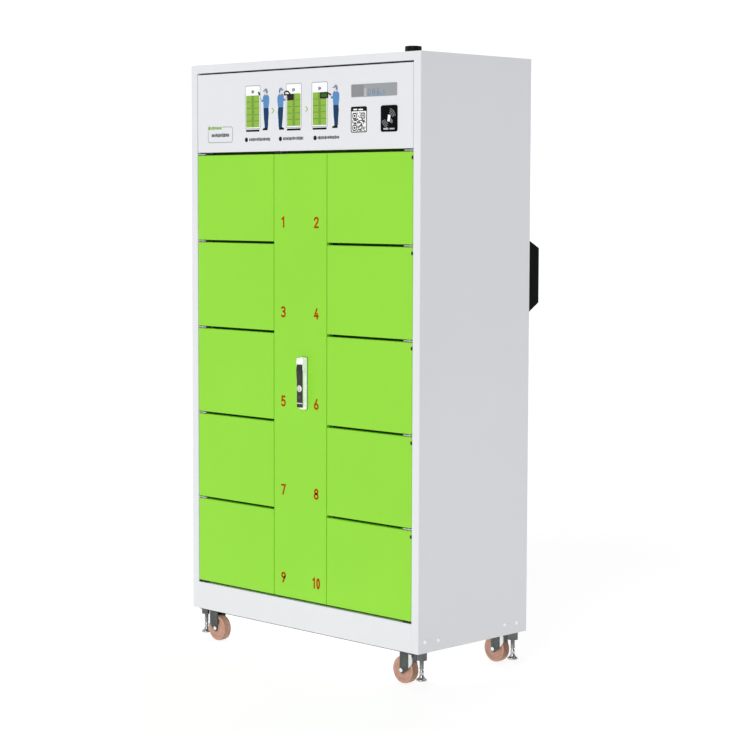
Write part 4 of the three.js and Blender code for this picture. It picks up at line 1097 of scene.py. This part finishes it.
# ------------------------------------------------------- casters and feet
for cn in corner_names:
    lo, hi = mm(f"caster_wheel_{cn}")
    R = (hi.z - lo.z) / 2 - 0.05
    cx, cy, cz = (lo.x + hi.x) / 2, (lo.y + hi.y) / 2, (lo.z + hi.z) / 2
    half = [(6.5, 14.1), (10.5, 14.1), (11.6, 13.4), (12.4, 10.4), (14.0, 9.2), (24.5, 8.8), (27.5, 9.4), (29.6, 11.4), (31.2, 12.6), (33.0, 12.9), (36.6, 13.0), (38.6, 12.4), (39.6, 11.0), (R, 8.2)]
    prof = [(r_, -y_) for r_, y_ in half] + half[::-1]
    # the tread faces take the darker tread material, painted shade on the tread
    mats = [1 if (prof[k][0] > 38.0 and prof[(k + 1) % len(prof)][0] > 38.0) else 0 for k in range(len(prof))]
    bm = bmesh.new()
    lathe(bm, prof, "y", (cx, cy, cz), 96, mats=mats)
    finish_mesh(f"wheel_{cn}", bm, [NYLON, TREAD_PAINTED_SHADE], f"caster_wheel_{cn}", (f"caster_wheel_{cn}",), smooth=40)

    s = 1 if "left" in cn else -1
    px = 66 if s > 0 else BODY_W - 66
    py, z, axx = cy, cz, cx
    # pressed fork: two legs joined by a rounded wall on the side away from the wheel
    T, RO = 2.4, 8.0
    plan = [(26.5, -17.4), (-17.0 + RO, -17.4)]
    plan += [(-17.0 + RO - RO * math.sin(math.radians(t)), -17.4 + RO - RO * math.cos(math.radians(t))) for t in range(10, 91, 10)]
    half_n = len(plan)
    plan += [(u, -v) for u, v in plan[::-1]]
    def lower(u):
        # the lower edge of the sheet at distance u from the swivel axis
        pts = [(-9.0, -51.5), (9.0, z - 8.2), (11.5, z - 9.8), (14.5, z - 10.8), (18.0, z - 11.2), (22.0, z - 10.2), (25.0, z - 7.6), (26.5, z - 3.0)]
        if u <= pts[0][0]:
            return pts[0][1]
        for (a_, za), (b_, zb) in zip(pts, pts[1:]):
            if u <= b_:
                return za + (zb - za) * (u - a_) / (b_ - a_)
        return pts[-1][1]
    path = []
    for (u0, v0), (u1, v1) in zip(plan, plan[1:]):
        steps = 14 if abs(u1 - u0) > 10 else (4 if abs(v1 - v0) > 8 else 1)
        path += [(u0 + (u1 - u0) * k / steps, v0 + (v1 - v0) * k / steps) for k in range(steps)]
    path.append(plan[-1])
    bm = bmesh.new()
    cols = []
    for k, (u, v) in enumerate(path):
        p0, p1 = path[max(0, k - 1)], path[min(len(path) - 1, k + 1)]
        d = Vector((p1[0] - p0[0], p1[1] - p0[1])).normalized()
        nrm = Vector((-d.y, d.x))
        inward = nrm if nrm.dot(Vector((6 - u, -v))) > 0 else -nrm
        zt, zb_ = -8.4, lower(u)
        if u < -17.0 + RO + 0.01 or abs(v) < 17.4 - 0.01:
            # round the bend the edge climbs to clear the wheel
            w_ = min(1.0, max(0.0, (17.4 - abs(v)) / (RO + 1.5)))
            zb_ = -51.5 + 17.3 * w_ ** 0.62
        pts4 = []
        for q, zz in ((0, zt), (0, zb_), (T, zb_), (T, zt)):
            uu, vv = u + inward.x * q, v + inward.y * q
            pts4.append(bm.verts.new((px + s * uu, py + vv, zz)))
        cols.append(pts4)
    for i_, (A, B) in enumerate(zip(cols, cols[1:])):
        vm = abs(path[i_][1] + path[i_ + 1][1]) / 2
        # the bend faces take bright satin chrome: a painted highlight where the key light catches the bend
        bend = 17.35 > vm > 9.6
        for k in range(4):
            f_ = bm.faces.new((A[k], A[(k + 1) % 4], B[(k + 1) % 4], B[k]))
            f_.material_index = 1 if bend else 0
    bm.faces.new(cols[0][::-1])
    bm.faces.new(cols[-1])
    bmesh.ops.recalc_face_normals(bm, faces=bm.faces)
    finish_mesh(f"fork_{cn}", bm, [DARK, CHROME2], f"caster_fork_{cn}", (f"caster_fork_{cn}",), 0.5, 2, smooth=44)
    bm = bmesh.new()
    crown = [(px - s * 13, py - 17.2), (px + s * 18, py - 17.2), (px + s * 22, py - 13), (px + s * 22, py + 13), (px + s * 18, py + 17.2), (px - s * 13, py + 17.2), (px - s * 16.8, py + 13), (px - s * 16.8, py - 13)]
    prism(bm, fillet(crown, 3, 4), -11.6, -8.2, "xy")
    finish_mesh(f"crown_{cn}", bm, DARK, f"caster_fork_{cn}", (f"caster_fork_{cn}",), 0.7, 3)
    bm = bmesh.new()   # ball race
    lathe(bm, [(0, -8.4), (18.6, -8.4), (19, -7.8), (18.2, -6.6), (18.6, -5.6), (18.2, -4.5), (0, -4.5)], "z", (px, py, 0), 56)
    finish_mesh(f"race_{cn}", bm, DCHROME, f"caster_fork_{cn}", (), smooth=35)
    bm = bmesh.new()   # raised boss round the axle on each leg, pressed out of the sheet
    for yy, d in ((py - 17.35, -1), (py + 17.35, 1)):
        pr = [(0, -0.6 * d), (9.4, -0.6 * d), (9.4, 0.1 * d), (8.6, 0.7 * d), (0, 0.7 * d)]
        lathe(bm, pr if d > 0 else pr[::-1], "y", (axx, yy, z), 36)
    finish_mesh(f"fork_bosses_{cn}", bm, DARK, f"caster_fork_{cn}", smooth=50)
    bm = bmesh.new()   # axle bolt, hex head and nut
    lathe(bm, [(0, -17.6), (6, -17.6), (6, 17.6), (0, 17.6)], "y", (axx, py, z), 32)
    for yy, d in ((py - 18.0, -1), (py + 18.0, 1)):
        pr = [(0, 0), (6.6, 0), (6.9, 0.5 * d), (6.9, 2.6 * d), (6.2, 3.2 * d), (0, 3.2 * d)]
        if d < 0:
            pr = pr[::-1]
        lathe(bm, pr, "y", (axx, yy, z), 6)
        pr = [(0, 3.0 * d), (4.0, 3.0 * d), (4.0, 3.4 * d), (3.2, 3.6 * d), (0, 3.6 * d)]
        if d < 0:
            pr = pr[::-1]
        lathe(bm, pr, "y", (axx, yy, z), 24)
    finish_mesh(f"axle_{cn}", bm, CHROME, f"caster_fork_{cn}", (), 0.3, 2)

    lo, hi = mm(f"levelling_foot_{cn}")
    fx_, fy_ = (lo.x + hi.x) / 2, (lo.y + hi.y) / 2
    zb = lo.z
    prof = [(0, zb), (14.4, zb), (15.4, zb + 1.0), (15.4, zb + 4.2), (14.8, zb + 5.2), (13.4, zb + 6.2), (11.2, zb + 7.4), (9.0, zb + 9.6), (7.2, zb + 12.8), (6.3, zb + 16.6), (5.9, zb + 20.0), (6.4, zb + 22.0), (6.7, zb + 24.4), (6.4, zb + 26.8), (5.2, zb + 28.6), (5.0, zb + 33.2), (6.2, zb + 34.0)]
    zt = zb + 34.4
    while zt < 30:
        prof += [(6.5, zt), (5.8, zt + 0.9)]
        zt += 1.8
    prof += [(5.8, hi.z - 1), (5.0, hi.z), (0, hi.z)]
    bm = bmesh.new()
    lathe(bm, prof, "z", (fx_, fy_, 0), 48)
    finish_mesh(f"foot_{cn}", bm, FOOTM, f"levelling_foot_{cn}", (f"levelling_foot_{cn}",), smooth=50, weighted=False)

# ----------------------------------------------- fixings on the side panels
bm = bmesh.new()
for y, z in ((30, 34), (86, 31), (375, 34), (430, 31)):
    lathe(bm, [(0, -0.05), (6.6, -0.05), (6.4, 0.7), (5.2, 1.7), (3.2, 2.4), (1.4, 2.7), (0, 2.75)], "x", (BODY_W, y, z), 32)
finish_mesh("rivets_right", bm, RIVETM, "cabinet", smooth=50)
bm = bmesh.new()
for y, z in ((30, 34), (86, 31), (375, 34), (430, 31)):
    lathe(bm, [(0, -2.75), (1.4, -2.7), (3.2, -2.4), (5.2, -1.7), (6.4, -0.7), (6.6, 0.05), (0, 0.05)], "x", (0, y, z), 32)
finish_mesh("rivets_left", bm, RIVETM, "cabinet", smooth=50)
bm = bmesh.new()   # screws round the rear panel
for x in [60 + 172 * k for k in range(6)]:
    for z in (30, BODY_H - 30):
        lathe(bm, [(0, -0.3), (4.4, -0.3), (4.2, 0.7), (2.6, 1.3), (0, 1.5)], "y", (x, BODY_D - 1.5, z), 20)
for z in [300 + 275 * k for k in range(5)]:
    for x in (34, BODY_W - 34):
        lathe(bm, [(0, -0.3), (4.4, -0.3), (4.2, 0.7), (2.6, 1.3), (0, 1.5)], "y", (x, BODY_D - 1.5, z), 20)
finish_mesh("rear_screws", bm, ZINC, "cabinet", smooth=50)

# ------------------------------------------------ inside the compartments
PINM = Mat("contact_brass", (0.78, 0.55, 0.22, 1), rough=0.25, metal=1.0, var=0.08, var_scale=60).m
LED = Mat("socket_led", (0.05, 0.55, 0.12, 1), rough=0.3, var=0.05, var_scale=60, emit=((0.10, 1.0, 0.25, 1), 1.5)).m
plates, holes, leds, pins = bmesh.new(), bmesh.new(), bmesh.new(), bmesh.new()
for i in range(1, 11):
    dl, dh = mm(f"door_{i}")
    bl, bh = mm("charger_backplane_left" if i % 2 else "charger_backplane_right")
    cx, cz, y = (bl.x + bh.x) / 2, (dl.z + dh.z) / 2, bl.y
    prism(plates, rrect(cx - 30, cx + 30, cz - 23, cz + 23, 5, 5), y - 1.6, y + 0.5)
    for dx in (-13, 13):
        prism(holes, circle(cx + dx, cz + 3, 8.2, None, 32), y - 1.75, y - 1.5)
        for dz in (-3, 3):
            lathe(pins, [(0, -2.6), (0.9, -2.6), (1.1, -2.2), (1.1, 0), (0, 0)], "y", (cx + dx, y, cz + 3 + dz), 14)
    lathe(leds, [(0, -2.4), (1.6, -2.2), (2.2, -1.5), (2.2, 0), (0, 0)], "y", (cx, y, cz - 15), 20)
finish_mesh("socket_plates", plates, BLACK, "cabinet", (), 0.5, 3)
finish_mesh("socket_holes", holes, GLOSSB, "cabinet")
finish_mesh("socket_leds", leds, LED, "cabinet")
finish_mesh("socket_pins", pins, PINM, "cabinet")

# --------------------------------------------------------- floor and light
fb = bmesh.new()
S = 30.0
vs = [fb.verts.new((x, y, 0)) for x, y in ((-S, -S), (S, -S), (S, S), (-S, S))]
fb.faces.new(vs)
me = bpy.data.meshes.new("floor")
fb.to_mesh(me); fb.free()
floor = bpy.data.objects.new("floor", me)
scene.collection.objects.link(floor)
floor.location.z = -0.0002
FLOORM = Mat("studio_floor", (0.42, 0.42, 0.42, 1), rough=0.9, var=0.004, var_scale=0.6, rough_var=0.03, rough_scale=2.0, spec=0.05, emit=((1, 1, 1, 1), 0.74)).m
me.materials.append(FLOORM)

# Studio: a soft surround made of bright and dark panels, by compass direction.
world = bpy.data.worlds.new("studio")
scene.world = world
world.use_nodes = True
wt = world.node_tree
bg = wt.nodes["Background"]
tc = wt.nodes.new("ShaderNodeTexCoord")
sep = wt.nodes.new("ShaderNodeSeparateXYZ")
wt.links.new(tc.outputs["Generated"], sep.inputs["Vector"])
at = wt.nodes.new("ShaderNodeMath")
at.operation = "ARCTAN2"
wt.links.new(sep.outputs["Y"], at.inputs[0])
wt.links.new(sep.outputs["X"], at.inputs[1])
mr = wt.nodes.new("ShaderNodeMapRange")
mr.inputs["From Min"].default_value = -math.pi
mr.inputs["From Max"].default_value = math.pi
wt.links.new(at.outputs["Value"], mr.inputs["Value"])
ramp = wt.nodes.new("ShaderNodeValToRGB")
wt.links.new(mr.outputs["Result"], ramp.inputs["Fac"])
PANELS = [(-180, 0.62), (-150, 0.62), (-128, 0.82), (-108, 0.34), (-96, 0.24), (-84, 0.38), (-70, 0.62), (-48, 0.62), (-36, 0.20), (-6, 0.10), (12, 0.18), (30, 0.56), (50, 0.56), (64, 0.14), (92, 0.16), (108, 0.9), (118, 1.06), (152, 1.06), (166, 0.8), (180, 0.62)]
els = ramp.color_ramp.elements
for k, (deg, v) in enumerate(PANELS):
    pos = (deg + 180) / 360
    e = els[0] if k == 0 else (els[-1] if k == len(PANELS) - 1 else els.new(pos))
    e.position = pos
    e.color = (v, v, v * 1.012, 1)
wt.links.new(ramp.outputs["Color"], bg.inputs["Color"])
bg.inputs["Strength"].default_value = 1.0

sun = bpy.data.lights.new("key", "SUN")
sun.energy = 0.78
sun.angle = math.radians(32)
so = bpy.data.objects.new("key", sun)
scene.collection.objects.link(so)
az, el = math.radians(-72), math.radians(30)
d = -Vector((math.cos(az) * math.cos(el), math.sin(az) * math.cos(el), math.sin(el)))
so.rotation_euler = d.to_track_quat("-Z", "Y").to_euler()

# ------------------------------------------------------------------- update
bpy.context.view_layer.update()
